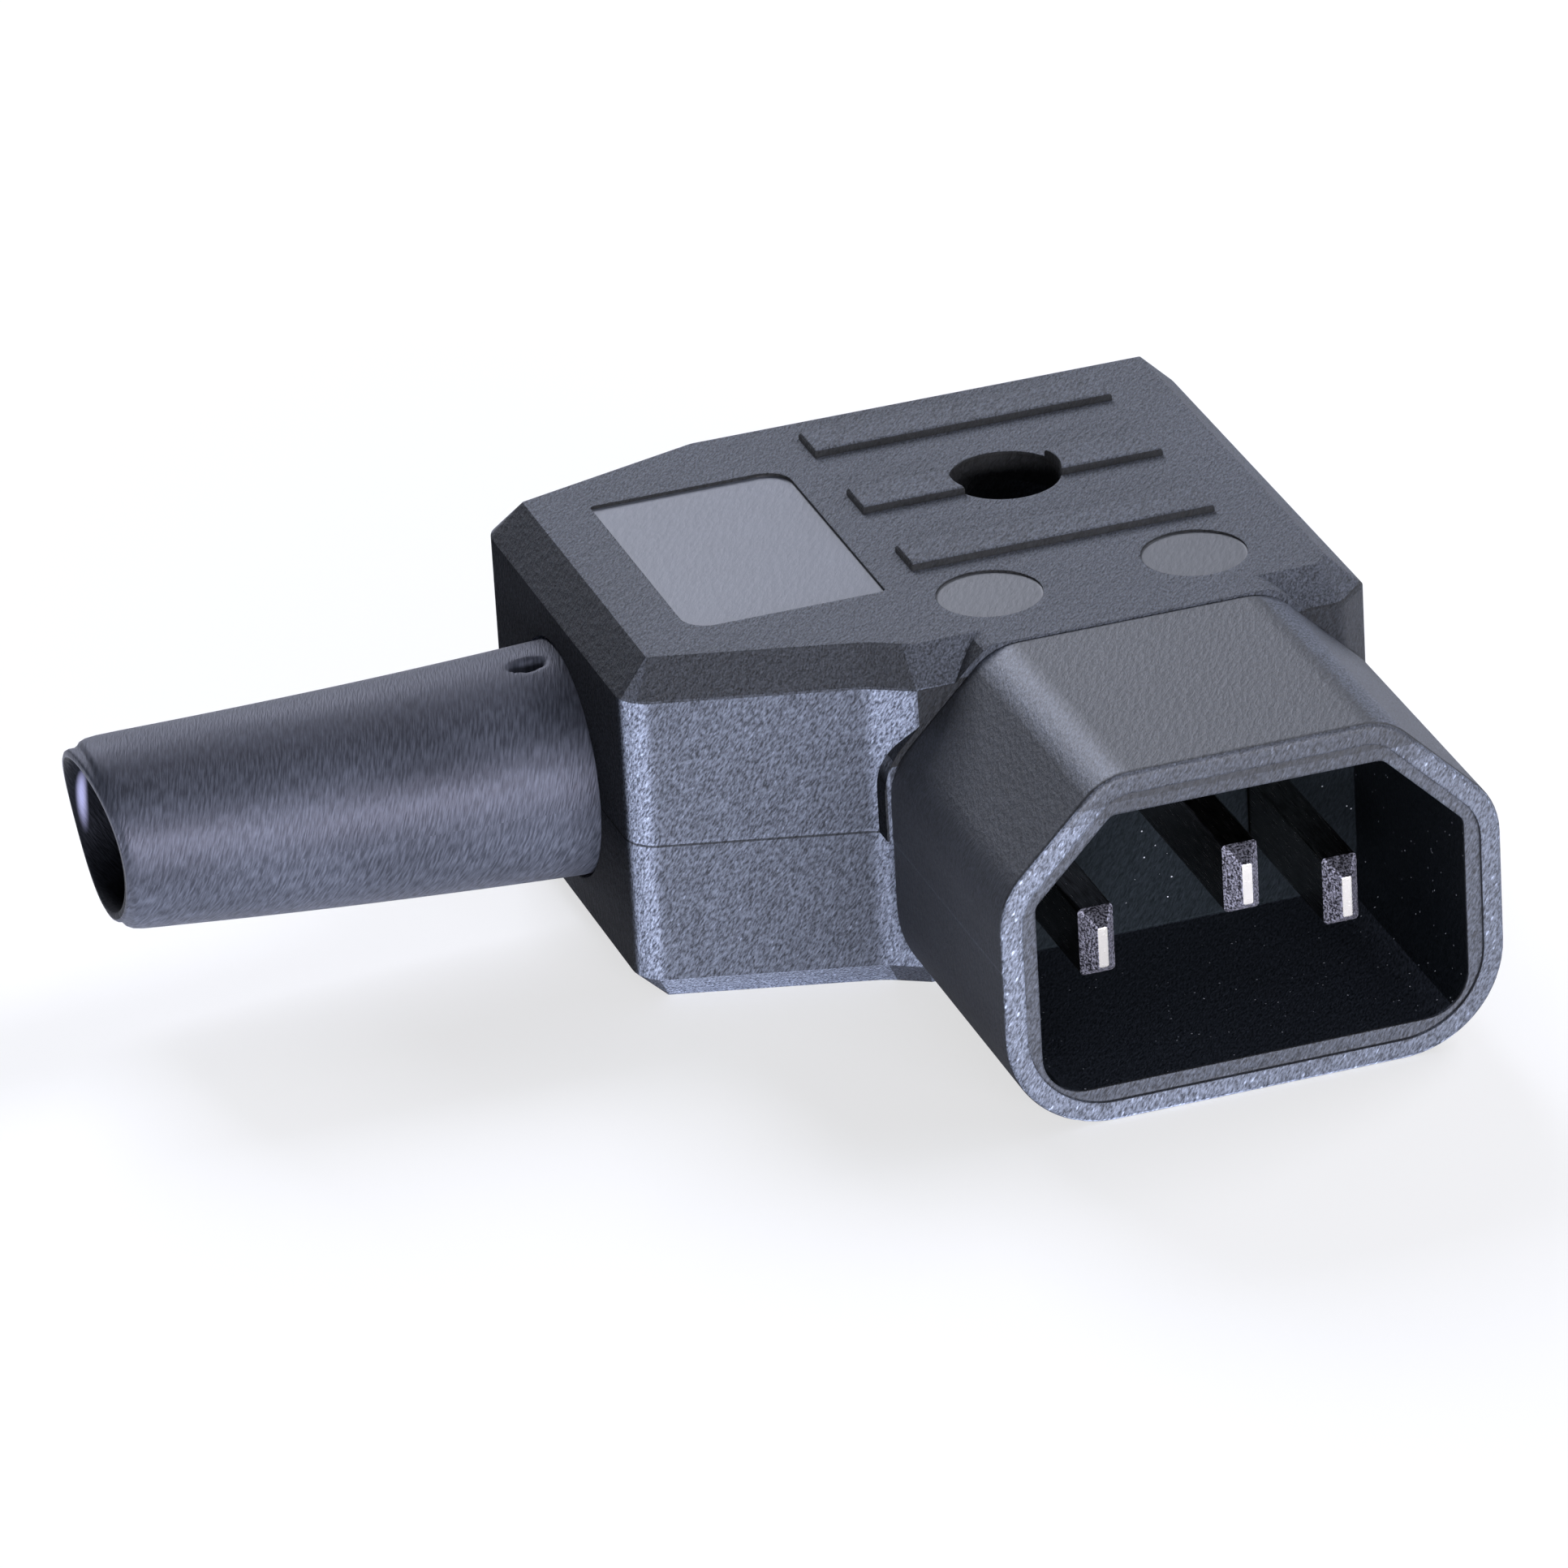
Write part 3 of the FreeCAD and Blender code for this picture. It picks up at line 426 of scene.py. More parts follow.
def housing_colour(tree, where, m, specks, pits, cloud):
    """Grain tone, scaled by the clouds, then by the factor of every place, most of them painted light and
    shade, with dust on top in the cavity.
    """
    tone = add(tree, "ShaderNodeValToRGB", {"Fac": specks})
    tone.color_ramp.elements[0].position, tone.color_ramp.elements[1].position = SPECK_RANGE
    tone.color_ramp.elements[0].color = linear(SPECK_DARK)
    tone.color_ramp.elements[1].color = linear(SPECK_PALE)
    smooth = add(tree, "ShaderNodeMix", {0: m["polished"], 6: tone.outputs["Color"],
                                         7: linear(POLISHED_TONE)}, data_type="RGBA").outputs[2]
    blotch = add(tree, "ShaderNodeMath", {0: cloud, 1: BLOTCH_GAIN, 2: BLOTCH_BASE},
                 operation="MULTIPLY_ADD").outputs[0]
    colour = add(tree, "ShaderNodeVectorMath", {0: smooth, 3: blotch}, operation="SCALE").outputs[0]

    sparkle = add(tree, "ShaderNodeMath", {0: pits, 1: PIT_SPARKLE}, operation="LESS_THAN").outputs[0]
    # painted highlights: on the rounded front corner, and on the collar's upper bends
    corner = product(tree, leaning(tree, FRONT_LEFT, 0.83, 0.96), m["body"], m["below_top"])
    bends = [product(tree, leaning(tree, bend, 0.93, 0.995), m["collar"], m["outside"])
             for bend in COLLAR_BENDS]
    for mask, factor in [
        (m["wall"], 1.92),                                                           # painted light: the table's glow on the upright front walls
        (product(tree, sparkle, m["wall"]), 1.6),                                    # painted glints on the pits of these walls
        (corner, 2.6),                                                               # painted highlight on the rounded front corner
        (product(tree, m["collar"], m["outside"], facing(tree, BACK, -0.5)), 0.36),  # round the collar
        (bends[0], 3.6), (bends[1], 3.6),                                            # painted highlights on its upper bends
        (product(tree, facing(tree, FRONT_DOWN, 0.93), m["outside"]), 2.7),          # painted light: the table's reflection on the lower front chamfer
        (product(tree, facing(tree, FRONT_UP, 0.9), m["slanted"]), 0.5),             # painted shade on the upper front chamfer
        (m["dark_left"], 0.2), (m["dark_slope"], 0.3),                               # painted shade on the left wall and on its chamfer
        (m["pad"], 0.65), (m["label"], 1.8),                                         # polished fields; the label's paler tone is a painted reflection
    ]:
        colour = tinted(tree, colour, mask, factor)

    # painted light: the rim is paler on its left and darker on its right
    x = add(tree, "ShaderNodeSeparateXYZ", {0: where}).outputs[0]
    across = add(tree, "ShaderNodeMapRange", {"Value": x, "From Min": -RIM_REACH * MM,
                                              "From Max": RIM_REACH * MM, "To Min": RIM_LEFT,
                                              "To Max": RIM_RIGHT}).outputs[0]
    across = add(tree, "ShaderNodeMath", {0: across, 1: m["rim"], 2: 1.0},
                 operation="MULTIPLY_ADD").outputs[0]
    colour = add(tree, "ShaderNodeVectorMath", {0: colour, 3: across}, operation="SCALE").outputs[0]

    glints = add(tree, "ShaderNodeMath", {0: pits, 1: RIM_SPARKLE}, operation="LESS_THAN").outputs[0]
    sides = add(tree, "ShaderNodeMath", {0: 1.0, 1: facing(tree, UP, 0.7)}, operation="SUBTRACT").outputs[0]
    away = add(tree, "ShaderNodeVectorMath", {0: where, 1: tuple(v * MM for v in LIT_AT)},
               operation="DISTANCE")
    lit = add(tree, "ShaderNodeMapRange", {"Value": away.outputs["Value"], "From Min": 0.0,
                                           "From Max": LIT_REACH * MM, "To Min": 1.0,
                                           "To Max": 0.0}).outputs[0]
    for mask, factor in [
        (product(tree, glints, m["rim"]), 1.7), (m["rim_top"], 0.65),     # painted glints on the rim, painted shade on its upper run
        (m["seam"], 0.3), (m["above_seam"], 1.3),                         # parting line, painted highlight along the edge over it
        (product(tree, m["relief"], sides), 0.12),                        # painted shade on the sides of the ribs and recesses
        (m["inner_land"], 0.5), (m["cavity"], 0.12),                      # painted shade on the step inside the rim and in the cavity
        (product(tree, m["cavity"], facing(tree, UP, 0.8)), 4.0),         # painted light on the cavity's floor
        (product(tree, lit, m["cavity"]), LIT_FACTOR),                    # its painted spot of light
        # painted shade down the screw hole; painted highlight on the real mould flash
        (m["hole"], 0.1), (m["flash"], 2.4),
        # painted shade on the lip's side face, the cut corner and the lip's bend; painted highlight on the
        # lip's edge
        (m["lip_face"], 0.25), (m["lip_edge"], 1.8), (m["right_cut"], 0.22), (m["lip_bend"], 0.15),
    ]:
        colour = tinted(tree, colour, mask, factor)

    dust = add(tree, "ShaderNodeTexVoronoi", {"Vector": where, "Scale": 1 / (DUST_SPACING * MM)})
    dust = add(tree, "ShaderNodeMath", {0: dust.outputs["Distance"], 1: DUST_SIZE}, operation="LESS_THAN")
    return add(tree, "ShaderNodeMix", {0: product(tree, dust.outputs[0], m["cavity"]), 6: colour,
                                       7: linear(DUST_TONE)}, data_type="RGBA").outputs[2]


print("specks from", SPECK_DARK, "to", SPECK_PALE)

# %% [markdown]
# ## The housing's gloss
# Eroded plastic is rough, so its highlights spread into a pale veil. The polished fields are smoother and the
# collar is a little, and the left wall is rougher. Where the picture shows hardly any veil, in the cavity, on
# the left wall and on its chamfer, the reflection itself is weakened.

# %% Gloss of the housing
ROUGH, ROUGH_POLISHED, ROUGH_COLLAR, ROUGH_LEFT = 0.7, -0.2, -0.12, 0.3
GLOSS, GLOSS_LEFT, GLOSS_SLOPE = 0.5, -0.44, -0.3
GLOSS_FADE = (-7, 0)                             # z in mm over which the left wall's loss sets in
CAVITY_REFLECTION = (0.19, 0.26, 0.29, 1)


def housing_gloss(tree, where, m):
    """Roughness, tint of the reflection and its strength, each a plain value that a few places change."""
    rough = add(tree, "ShaderNodeMath", {0: m["polished"], 1: ROUGH_POLISHED, 2: ROUGH},
                operation="MULTIPLY_ADD").outputs[0]
    rough = add(tree, "ShaderNodeMath", {0: m["collar"], 1: ROUGH_COLLAR, 2: rough},
                operation="MULTIPLY_ADD").outputs[0]
    rough = add(tree, "ShaderNodeMath", {0: product(tree, facing(tree, LEFT, 0.9), m["body"]), 1: ROUGH_LEFT,
                                         2: rough}, operation="MULTIPLY_ADD").outputs[0]
    dull = add(tree, "ShaderNodeMix", {0: m["cavity"], 6: (1, 1, 1, 1), 7: CAVITY_REFLECTION},
               data_type="RGBA").outputs[2]
    z = add(tree, "ShaderNodeSeparateXYZ", {0: where}).outputs[2]
    rising = add(tree, "ShaderNodeMapRange", {"Value": z, "From Min": GLOSS_FADE[0] * MM,
                                              "From Max": GLOSS_FADE[1] * MM, "To Min": 0.0,
                                              "To Max": GLOSS_LEFT}).outputs[0]
    gloss = add(tree, "ShaderNodeMath", {0: m["dark_left"], 1: rising, 2: GLOSS},
                operation="MULTIPLY_ADD").outputs[0]
    gloss = add(tree, "ShaderNodeMath", {0: m["dark_slope"], 1: GLOSS_SLOPE, 2: gloss},
                operation="MULTIPLY_ADD").outputs[0]
    return rough, dull, gloss


print("roughness of the eroded plastic:", ROUGH)

# %% [markdown]
# ## The housing: black polyamide
# The parts come together in one material for both shells. Pits and specks press into the surface as bump, much
# less so on the polished fields and the collar, and a bevel of 0.2 mm softens the edges as a real tool does.

# %% Black polyamide
BUMP_HEIGHT, BUMP_POLISHED, BUMP_COLLAR = 0.16, -0.92, -0.78
PIT_SHARE = 0.8                                  # of the pits in the height, next to the specks
SOFT_EDGE = 0.2


def housing_material():
    """Black polyamide: grain as bump and as specks of tone, soft edges, polished fields, painted light and
    shade, a dull cavity.
    """
    material, tree, output = new_material("Spark_eroded_moulded_polyamide")
    where = add(tree, "ShaderNodeTexCoord", {}).outputs["Object"]
    m = housing_masks(tree, where)
    specks, pits, cloud = grain_pattern(tree, where)
    colour = housing_colour(tree, where, m, specks, pits, cloud)
    rough, dull, gloss = housing_gloss(tree, where, m)
    height = add(tree, "ShaderNodeMath", {0: pits, 1: PIT_SHARE, 2: specks},
                 operation="MULTIPLY_ADD").outputs[0]
    coarse = add(tree, "ShaderNodeMath", {0: m["polished"], 1: BUMP_POLISHED, 2: 1.0},
                 operation="MULTIPLY_ADD").outputs[0]
    coarse = add(tree, "ShaderNodeMath", {0: m["collar"], 1: BUMP_COLLAR, 2: coarse},
                 operation="MULTIPLY_ADD").outputs[0]
    soft = add(tree, "ShaderNodeBevel", {"Radius": SOFT_EDGE * MM}, samples=6).outputs[0]
    bump = add(tree, "ShaderNodeBump", {"Height": height, "Strength": coarse, "Normal": soft,
                                        "Distance": BUMP_HEIGHT * MM})
    shell = add(tree, "ShaderNodeBsdfPrincipled", {"Base Color": colour, "Roughness": rough, "IOR": 1.53,
                                                   "Specular Tint": dull, "Specular IOR Level": gloss,
                                                   "Normal": bump.outputs[0]})
    tree.links.new(shell.outputs[0], output.inputs["Surface"])
    return material


housing = housing_material()
for name in ("lower_shell", "upper_shell"):
    dress(nodes[name], housing)
print("housing nodes in the shader:", len(housing.node_tree.nodes))

# %% [markdown]
# ## The boot: soft PVC compound
# The boot has a satin skin with short fine scratches that run round the sleeve on a slant, and slow flow
# clouds along it. The scratches are read in angle and length round the cable's axis, so that they keep their
# course all the way round. The table's light on its lower side is painted in as a paler tone, and its upper
# side is painted darker. Inside the mouth it is dull, with painted shade, and a small violet highlight is
# painted on the far wall.

# %% Soft boot compound
AXIS_Y = 35.0
SLEEVE_RADIUS = 5.5
SCRATCH, SCRATCH_SLANT, SCRATCH_KEEP = 0.13, 0.35, 0.18
FLOW, FLOW_KEEP = 2.6, 0.3
BORE = (-100.0, 30.25, -3.95), (20.0, 39.75, 5.55)
# a painted highlight on the bore's far wall: its centre and size in mm, and the share of it that is full
SHEEN_AT, SHEEN_SIZE, SHEEN_CORE = (-53.65, 39.1, 1.4), (0.4, 2.0, 2.4), 0.15
SCRATCH_DARK, SCRATCH_PALE, SCRATCH_RANGE = "#272a31", "#474b55", (0.36, 0.7)
# the colour of the painted highlight in the mouth, and the tint of the boot's reflections
SHEEN_TONE, BOOT_REFLECTION = "#b9bbe2", "#e6e7ff"
FLOW_GAIN, FLOW_BASE = 1.1, 0.45                 # tone over the flow clouds
UNDERSIDE_LIGHT_GAIN, UNDERSIDE_LIGHT_BASE = 0.8, 1.12               # painted light and shade: tone rises as a face turns down to the table
# painted shade in the bore, and how much its reflection is weakened
BORE_FACTOR, BORE_GLOSS = 0.18, -0.42
BOOT_ROUGH, BOOT_ROUGH_FLOW, BOOT_ROUGH_UP = 0.39, 0.2, 0.13
BOOT_EDGE, BOOT_BUMP, BOOT_BUMP_HEIGHT = 0.15, 0.8, 0.07


def boot_colour(tree, where, scratch, cloud, bore):
    """Scratch tone scaled by the clouds and by painted light on faces that look down to the table, then painted
    shade in the bore and a painted highlight on its far wall.
    """
    tone = add(tree, "ShaderNodeValToRGB", {"Fac": scratch})
    tone.color_ramp.elements[0].position, tone.color_ramp.elements[1].position = SCRATCH_RANGE
    tone.color_ramp.elements[0].color = linear(SCRATCH_DARK)
    tone.color_ramp.elements[1].color = linear(SCRATCH_PALE)
    blotch = add(tree, "ShaderNodeMath", {0: cloud, 1: FLOW_GAIN, 2: FLOW_BASE},
                 operation="MULTIPLY_ADD").outputs[0]
    colour = add(tree, "ShaderNodeVectorMath", {0: tone.outputs["Color"], 3: blotch},
                 operation="SCALE").outputs[0]
    # painted light and shade: paler as a face turns down to the table, darker as it turns up
    normal = add(tree, "ShaderNodeNewGeometry", {}).outputs["Normal"]
    under = add(tree, "ShaderNodeVectorMath", {0: normal, 1: BOOT_DOWN}, operation="DOT_PRODUCT")
    underside_light = add(tree, "ShaderNodeMath", {0: under.outputs["Value"], 1: UNDERSIDE_LIGHT_GAIN, 2: UNDERSIDE_LIGHT_BASE},
                operation="MULTIPLY_ADD").outputs[0]
    colour = add(tree, "ShaderNodeVectorMath", {0: colour, 3: underside_light}, operation="SCALE").outputs[0]
    # painted shade in the bore
    colour = tinted(tree, colour, bore, BORE_FACTOR)
    # painted highlight on the far wall of the bore
    away = add(tree, "ShaderNodeVectorMath", {0: where, 1: tuple(v * MM for v in SHEEN_AT)},
               operation="SUBTRACT")
    away = add(tree, "ShaderNodeVectorMath", {0: away.outputs[0], 1: tuple(v * MM for v in SHEEN_SIZE)},
               operation="DIVIDE")
    away = add(tree, "ShaderNodeVectorMath", {0: away.outputs[0]}, operation="LENGTH").outputs["Value"]
    sheen = add(tree, "ShaderNodeMapRange", {"Value": away, "From Min": SHEEN_CORE, "From Max": 1.0,
                                             "To Min": 1.0, "To Max": 0.0},
                interpolation_type="SMOOTHSTEP").outputs[0]
    return add(tree, "ShaderNodeMix", {0: product(tree, sheen, bore), 6: colour, 7: linear(SHEEN_TONE)},
               data_type="RGBA").outputs[2]


def boot_material():
    """Satin compound. The turn round the axis is the arc tangent of z and y - axis, and a scratch lies along
    x + slant * radius * turn, its other coordinate shortened."""
    material, tree, output = new_material("Moulded_soft_PVC_compound")
    where = add(tree, "ShaderNodeTexCoord", {}).outputs["Object"]
    x, y, z = add(tree, "ShaderNodeSeparateXYZ", {0: where}).outputs
    depth = add(tree, "ShaderNodeMath", {0: y, 1: AXIS_Y * MM}, operation="SUBTRACT").outputs[0]
    turn = add(tree, "ShaderNodeMath", {0: z, 1: depth}, operation="ARCTAN2").outputs[0]
    slant = add(tree, "ShaderNodeMath", {0: turn, 1: SCRATCH_SLANT * SLEEVE_RADIUS * MM, 2: x},
                operation="MULTIPLY_ADD").outputs[0]
    around = add(tree, "ShaderNodeMath", {0: turn, 1: SCRATCH_KEEP * SLEEVE_RADIUS * MM},
                 operation="MULTIPLY").outputs[0]
    drawn = add(tree, "ShaderNodeCombineXYZ", {0: slant, 1: around}).outputs[0]
    scratch = add(tree, "ShaderNodeTexNoise", {"Vector": drawn, "Scale": 1 / (SCRATCH * MM),
                                               "Detail": 2.5}).outputs["Fac"]
    along = add(tree, "ShaderNodeMapping", {"Vector": where, "Scale": (FLOW_KEEP, 1.0, 1.0)}).outputs[0]
    cloud = add(tree, "ShaderNodeTexNoise", {"Vector": along, "Scale": 1 / (FLOW * MM),
                                             "Detail": 3.0}).outputs["Fac"]
    bore = region(tree, where, *BORE, oval=True)
    colour = boot_colour(tree, where, scratch, cloud, bore)
    gloss = add(tree, "ShaderNodeMath", {0: bore, 1: BORE_GLOSS, 2: GLOSS}, operation="MULTIPLY_ADD").outputs[0]
    rough = add(tree, "ShaderNodeMath", {0: cloud, 1: BOOT_ROUGH_FLOW, 2: BOOT_ROUGH},
                operation="MULTIPLY_ADD").outputs[0]
    rough = add(tree, "ShaderNodeMath", {0: leaning(tree, BOOT_UP, 0.4, 0.95), 1: BOOT_ROUGH_UP, 2: rough},
                operation="MULTIPLY_ADD").outputs[0]
    soft = add(tree, "ShaderNodeBevel", {"Radius": BOOT_EDGE * MM}, samples=6).outputs[0]
    bump = add(tree, "ShaderNodeBump", {"Height": scratch, "Normal": soft, "Strength": BOOT_BUMP,
                                        "Distance": BOOT_BUMP_HEIGHT * MM})
    skin = add(tree, "ShaderNodeBsdfPrincipled", {"Base Color": colour, "Roughness": rough, "IOR": 1.5,
                                                  "Specular Tint": linear(BOOT_REFLECTION),
                                                  "Specular IOR Level": gloss, "Normal": bump.outputs[0]})
    tree.links.new(skin.outputs[0], output.inputs["Surface"])
    return material


boot_skin = boot_material()
dress(nodes["cable_boot"], boot_skin)
print("scratch width in mm:", SCRATCH)

# %% [markdown]
# ## The boot as one soft surface
# The real boot is moulded soft, so its mouth isn't a turned part. The bead on its rim fades from the far side
# to the near one, the mouth is pushed out a little on a slant with its far side drawn back, and the whole
# sleeve lifts slightly towards its end. It is made as a profile carried round the cable's axis on a grid of
# angle and length, then bent by a few formulas. A small oval dimple near the root is pressed in as a dent.

# %% Profile of the boot
# Length x and radius in mm: out along the skin to the tip, round the bead and back along the bore.
BOOT_PROFILE = [
    (-27.0, 4.1), (-27.0, 6.58), (-27.4, 6.6), (-28.0, 6.58), (-36.0, 6.2), (-44.0, 5.83), (-51.4, 5.48),
    (-52.3, 5.42), (-52.75, 5.34), (-53.0, 5.2), (-53.12, 5.02), (-53.3, 4.92), (-53.75, 4.9), (-54.02, 4.82),
    (-54.14, 4.64), (-54.1, 4.46), (-53.9, 4.34), (-53.3, 4.26), (-50.0, 4.12), (-40.0, 4.1), (-27.0, 4.1),
]
BOOT_STEP, BOOT_TURNS = 0.25, 200


def dense_profile(points, step):
    """Points along straight runs, no further apart than step: the runs are short enough to look curved."""
    points = np.array(points)
    length = np.concatenate([[0], np.cumsum(np.linalg.norm(np.diff(points, axis=0), axis=1))])
    place = np.unique(np.concatenate([length, np.arange(0, length[-1], step)]))
    return np.column_stack([np.interp(place, length, points[:, k]) for k in (0, 1)])


profile = dense_profile(BOOT_PROFILE, BOOT_STEP)[:-1]
print("points along the profile:", len(profile))

# %% [markdown]
# ## Bending the sleeve
# Each bend is a formula of the angle a and of the way along the sleeve, which is 0 at its root and 1 at its
# tip. The angle is 0 on the far side, away from the camera. Lengths stay in millimetres until the mesh is made.

# %% Points of the boot
BOOT_ROOT_X, BOOT_TIP_X = -27.0, -53.2
DIMPLE = dict(x=-29.3, turn=98.0, long=0.95, wide=0.5, deep=0.75, sleeve=6.5)
OUTER_SKIN = 5.6                # a radius above this belongs to the outer skin near the dimple
BEAD_X, BEAD_NEAR = -53.15, 0.12                 # where the bead starts, and how much of it is left near
SKEW_FROM = 0.9                                  # the mouth's slant grows from this share of the way
MOUTH_OUT, MOUTH_LEAN = 0.6, 0.07                # mm, and mm for each mm of height
PULL, PULL_TURN, PULL_LESS = 0.75, 0.44, 0.2     # the far side is drawn back
LIFT_EVEN, LIFT_CURVED = 0.15, 0.75              # mm of lift, in step with the way and with its square


def boot_points(profile, turns):
    """Radius r at x turned by angle a: y = axis + r cos a, z = r sin a. The dimple takes a smooth bell off r.
    With farness = (1 + cos a) / 2, the bead is shortened to BEAD_NEAR + (1 - BEAD_NEAR) farness of its length.
    The mouth then moves out by MOUTH_OUT + MOUTH_LEAN z - pull, which fades in over the last tenth of the way,
    where pull = (PULL cos(a + PULL_TURN) - PULL_LESS) farness. Last, z gains
    LIFT_EVEN way + LIFT_CURVED way^2."""
    a = np.linspace(0, 2 * math.pi, turns, endpoint=False)[None, :]
    x, r = profile[:, 0][:, None], profile[:, 1][:, None]
    along = (x - DIMPLE["x"]) / DIMPLE["long"]
    around = (a - math.radians(DIMPLE["turn"])) * DIMPLE["sleeve"] / DIMPLE["wide"]
    r = r - DIMPLE["deep"] * np.exp(-(along ** 2 + around ** 2) ** 3) * (r > OUTER_SKIN)
    farness = (1 + np.cos(a)) / 2
    bead = BEAD_NEAR + (1 - BEAD_NEAR) * farness
    x = np.where(x < BEAD_X, BEAD_X + (x - BEAD_X) * bead, x)
    y, z = r * np.cos(a), r * np.sin(a)
    way = np.clip((BOOT_ROOT_X - x) / (BOOT_ROOT_X - BOOT_TIP_X), 0, 1.05)
    skew = np.clip((way - SKEW_FROM) / (1 - SKEW_FROM), 0, 1)
    pull = (PULL * np.cos(a + PULL_TURN) - PULL_LESS) * farness
    x = x - (MOUTH_OUT + MOUTH_LEAN * z - pull) * skew
    return np.stack([x, AXIS_Y + y, z + LIFT_EVEN * way + LIFT_CURVED * way ** 2], axis=-1)


boot_grid = boot_points(profile, BOOT_TURNS)
print("points of the boot:", boot_grid.shape[0] * boot_grid.shape[1])

# %% [markdown]
# ## The boot's mesh
# The grid becomes quads. Both of its directions come round to where they started, so the mesh closes without a
# seam and the boot is a solid skin, bore and all. It takes the place of the CAD boot on the same body.

# %% Boot surface
def closed_grid(points):
    """Quads between rings of points. The rings are closed, and so is the profile that they follow: the index of
    the next ring or turn is taken modulo their number. The order of a quad's corners makes it look outwards."""
    rings, turns = points.shape[:2]
    i, j = np.meshgrid(np.arange(rings), np.arange(turns), indexing="ij")
    here, there = i * turns, (i + 1) % rings * turns
    after = (j + 1) % turns
    return np.stack([here + j, there + j, there + after, here + after], axis=-1).reshape(-1, 4)


def surface(name, points, faces):
    """A smooth mesh object at the origin from points in millimetres and quads."""
    mesh = bpy.data.meshes.new(name)
    mesh.from_pydata((points.reshape(-1, 3) * MM).tolist(), [], faces.tolist())
    mesh.polygons.foreach_set("use_smooth", np.full(len(mesh.polygons), True))
    mesh.update()
    made = bpy.data.objects.new(name, mesh)
    bpy.context.scene.collection.objects.link(made)
    return made


boot = surface("soft_cable_boot", boot_grid, closed_grid(boot_grid))
dress(boot, boot_skin)
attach(boot, "root")
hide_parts("cable_boot")
print("boot faces:", len(boot.data.polygons))

# %% [markdown]
# ## Pins, screws and clamps
# The pins are brass with a bright nickel plate, rolled along their length, so fine lines along Y change their
# gloss. Their bevels were struck when they were cut and show a speckled grain of 0.12 mm. The upper bevels get
# painted shade, and the flat ends are painted near white as a highlight over the plate's own pale colour. The
# shafts lie in the cavity's shade, which is painted on them. The hidden screws are plain zinc-plated steel.

# %% Plated metal
LINE_KEEP, LINE_RANGE, LINE_ROUGH = 0.06, (0.35, 0.6), 0.2
SLOPE_DARK, SLOPE_PALE, SLOPE_GRAIN, SLOPE_RANGE = "#3c3b42", "#cfcfe0", 0.12, (0.4, 0.66)
SLOPE_ROUGH, PRESS, SLOPE_PRESS = 0.45, 0.25, 0.75    # roughness added, bump strength and what is added to it
# painted highlight: the flat ends are mixed to near white, over the plate's own pale colour
PIN_END_HIGHLIGHT = "#fffaf2"
# painted shade on the shafts and on the upper bevels
SHAFT_FACTOR, BEVEL_UP_FACTOR = 0.3, 0.45
METAL_EDGE, METAL_BUMP_HEIGHT = 0.12, 0.05


def bevelled(tree, where, colour, rough, lines, bevels):
    """Colour, roughness, height and bump strength with the pins' bevels, shafts and ends worked in: painted
    shade on the shafts and the upper bevels, a painted highlight on the ends. bevels is the share of it all, 0
    for plain metal."""
    end = facing(tree, FRONT, 0.97)
    slope = add(tree, "ShaderNodeMath", {0: facing(tree, FRONT, 0.3), 1: end}, operation="SUBTRACT").outputs[0]
    slope = add(tree, "ShaderNodeMath", {0: slope, 1: bevels}, operation="MULTIPLY").outputs[0]
    shaft = add(tree, "ShaderNodeMath", {0: facing(tree, FRONT, 0.3), 1: -bevels, 2: bevels},
                operation="MULTIPLY_ADD").outputs[0]
    rough = add(tree, "ShaderNodeMath", {0: slope, 1: SLOPE_ROUGH, 2: rough},
                operation="MULTIPLY_ADD").outputs[0]
    grit = add(tree, "ShaderNodeTexNoise", {"Vector": where, "Scale": 1 / (SLOPE_GRAIN * MM),
                                            "Detail": 2.0}).outputs["Fac"]
    tone = add(tree, "ShaderNodeValToRGB", {"Fac": grit})
    tone.color_ramp.elements[0].position, tone.color_ramp.elements[1].position = SLOPE_RANGE
    tone.color_ramp.elements[0].color = linear(SLOPE_DARK)
    tone.color_ramp.elements[1].color = linear(SLOPE_PALE)
    colour = add(tree, "ShaderNodeMix", {0: slope, 6: colour, 7: tone.outputs["Color"]},
                 data_type="RGBA").outputs[2]
    # painted shade on the shafts
    colour = tinted(tree, colour, shaft, SHAFT_FACTOR)
    # painted shade on the bevels that look up
    upper = add(tree, "ShaderNodeMath", {0: facing(tree, PIN_BEVEL_UP, 0.97), 1: bevels},
                operation="MULTIPLY").outputs[0]
    colour = tinted(tree, colour, upper, BEVEL_UP_FACTOR)
    # painted highlight on the flat ends
    bright = add(tree, "ShaderNodeMath", {0: end, 1: bevels}, operation="MULTIPLY").outputs[0]
    colour = add(tree, "ShaderNodeMix", {0: bright, 6: colour, 7: linear(PIN_END_HIGHLIGHT)},
                 data_type="RGBA").outputs[2]
    height = add(tree, "ShaderNodeMix", {0: slope, 2: lines, 3: grit}).outputs[0]
    press = add(tree, "ShaderNodeMath", {0: slope, 1: SLOPE_PRESS, 2: PRESS},
                operation="MULTIPLY_ADD").outputs[0]
    return colour, rough, height, press


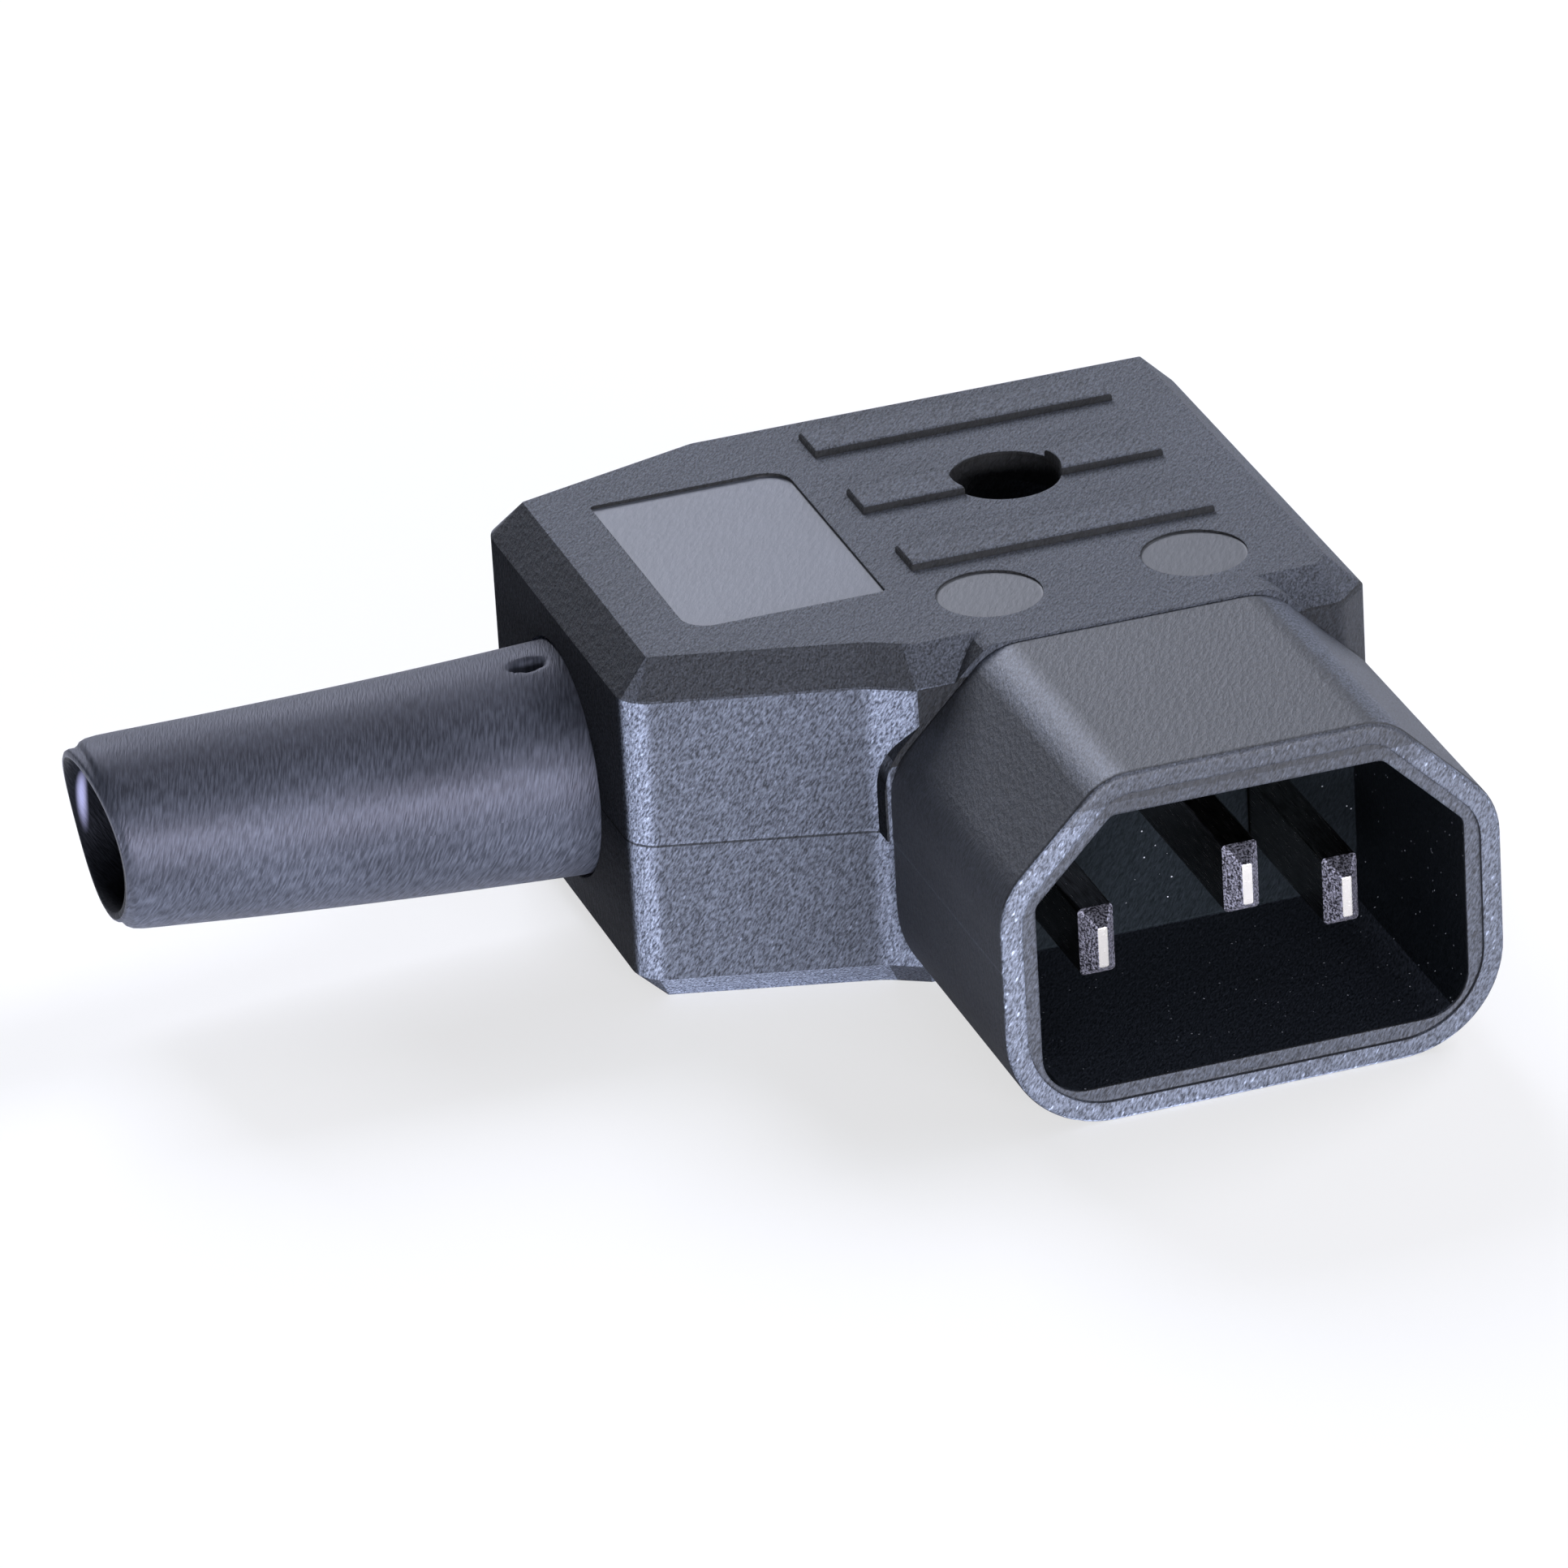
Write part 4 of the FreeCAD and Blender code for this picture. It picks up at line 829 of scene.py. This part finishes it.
def metal_material(name, light, dark, roughness, streak_mm, bevels=0.0):
    """Plated metal: faint drawn lines along Y change its roughness and its tone from dark to light."""
    material, tree, output = new_material(name)
    where = add(tree, "ShaderNodeTexCoord", {}).outputs["Object"]
    along = add(tree, "ShaderNodeMapping", {"Vector": where, "Scale": (1.0, LINE_KEEP, 1.0)}).outputs[0]
    lines = add(tree, "ShaderNodeTexNoise", {"Vector": along, "Scale": 1 / (streak_mm * MM),
                                             "Detail": 3.0}).outputs["Fac"]
    tone = add(tree, "ShaderNodeValToRGB", {"Fac": lines})
    tone.color_ramp.elements[0].position, tone.color_ramp.elements[1].position = LINE_RANGE
    tone.color_ramp.elements[0].color = linear(dark)
    tone.color_ramp.elements[1].color = linear(light)
    rough = add(tree, "ShaderNodeMath", {0: lines, 1: LINE_ROUGH, 2: roughness - LINE_ROUGH / 2},
                operation="MULTIPLY_ADD").outputs[0]
    colour, rough, height, press = bevelled(tree, where, tone.outputs["Color"], rough, lines, bevels)
    soft = add(tree, "ShaderNodeBevel", {"Radius": METAL_EDGE * MM}, samples=6).outputs[0]
    bump = add(tree, "ShaderNodeBump", {"Height": height, "Normal": soft, "Strength": press,
                                        "Distance": METAL_BUMP_HEIGHT * MM})
    plate = add(tree, "ShaderNodeBsdfPrincipled", {"Base Color": colour, "Roughness": rough, "Metallic": 1.0,
                                                   "Normal": bump.outputs[0]})
    tree.links.new(plate.outputs[0], output.inputs["Surface"])
    return material


nickel = metal_material("Nickel_plated_brass", "#ece7dd", "#857c70", 0.24, 0.1, bevels=1.0)
zinc = metal_material("Zinc_plated_steel", "#c3c6c8", "#a2a5a8", 0.34, 0.3)
for name in ("line", "neutral", "earth"):
    dress(nodes[name + "_pin"], nickel)
    dress(nodes[name + "_wire_clamp"], zinc)
    dress(nodes[name + "_terminal_screw"], zinc)
for name in ("cord_grip_screw_front", "cord_grip_screw_rear", "housing_screw", "housing_screw_washer",
             "housing_nut"):
    dress(nodes[name], zinc)
print("metals:", nickel.name, "and", zinc.name)

# %% [markdown]
# ## Plain inner mouldings
# The bar over the terminals and the saddle over the cable come from a plain ground tool. They are a little
# smoother than the housing, with a faint ripple of 0.4 mm, and even in tone.

# %% Plain inner mouldings
RIPPLE, RIPPLE_HEIGHT, INNER_TONE = 0.4, 0.03, "#2c2d30"


def inner_material():
    """Black polyamide from a plain ground tool: a faint ripple in roughness and height, one tone."""
    material, tree, output = new_material("Plain_moulded_polyamide")
    where = add(tree, "ShaderNodeTexCoord", {}).outputs["Object"]
    ripple = add(tree, "ShaderNodeTexNoise", {"Vector": where, "Scale": 1 / (RIPPLE * MM),
                                              "Detail": 2.0}).outputs["Fac"]
    rough = add(tree, "ShaderNodeMath", {0: ripple, 1: 0.2, 2: 0.35}, operation="MULTIPLY_ADD").outputs[0]
    bump = add(tree, "ShaderNodeBump", {"Height": ripple, "Strength": 0.2,
                                        "Distance": RIPPLE_HEIGHT * MM}).outputs[0]
    skin = add(tree, "ShaderNodeBsdfPrincipled", {"Base Color": linear(INNER_TONE), "Roughness": rough,
                                                  "Normal": bump, "IOR": 1.53})
    tree.links.new(skin.outputs[0], output.inputs["Surface"])
    return material


inner = inner_material()
for name in ("terminal_retainer", "cord_grip"):
    dress(nodes[name], inner)
print("materials:", len(bpy.data.materials))

# %% [markdown]
# ## Close the lesson
# The view transform stays Standard, so a colour shows as it is written.

# %% Finish
bpy.context.scene.view_settings.view_transform = "Standard"
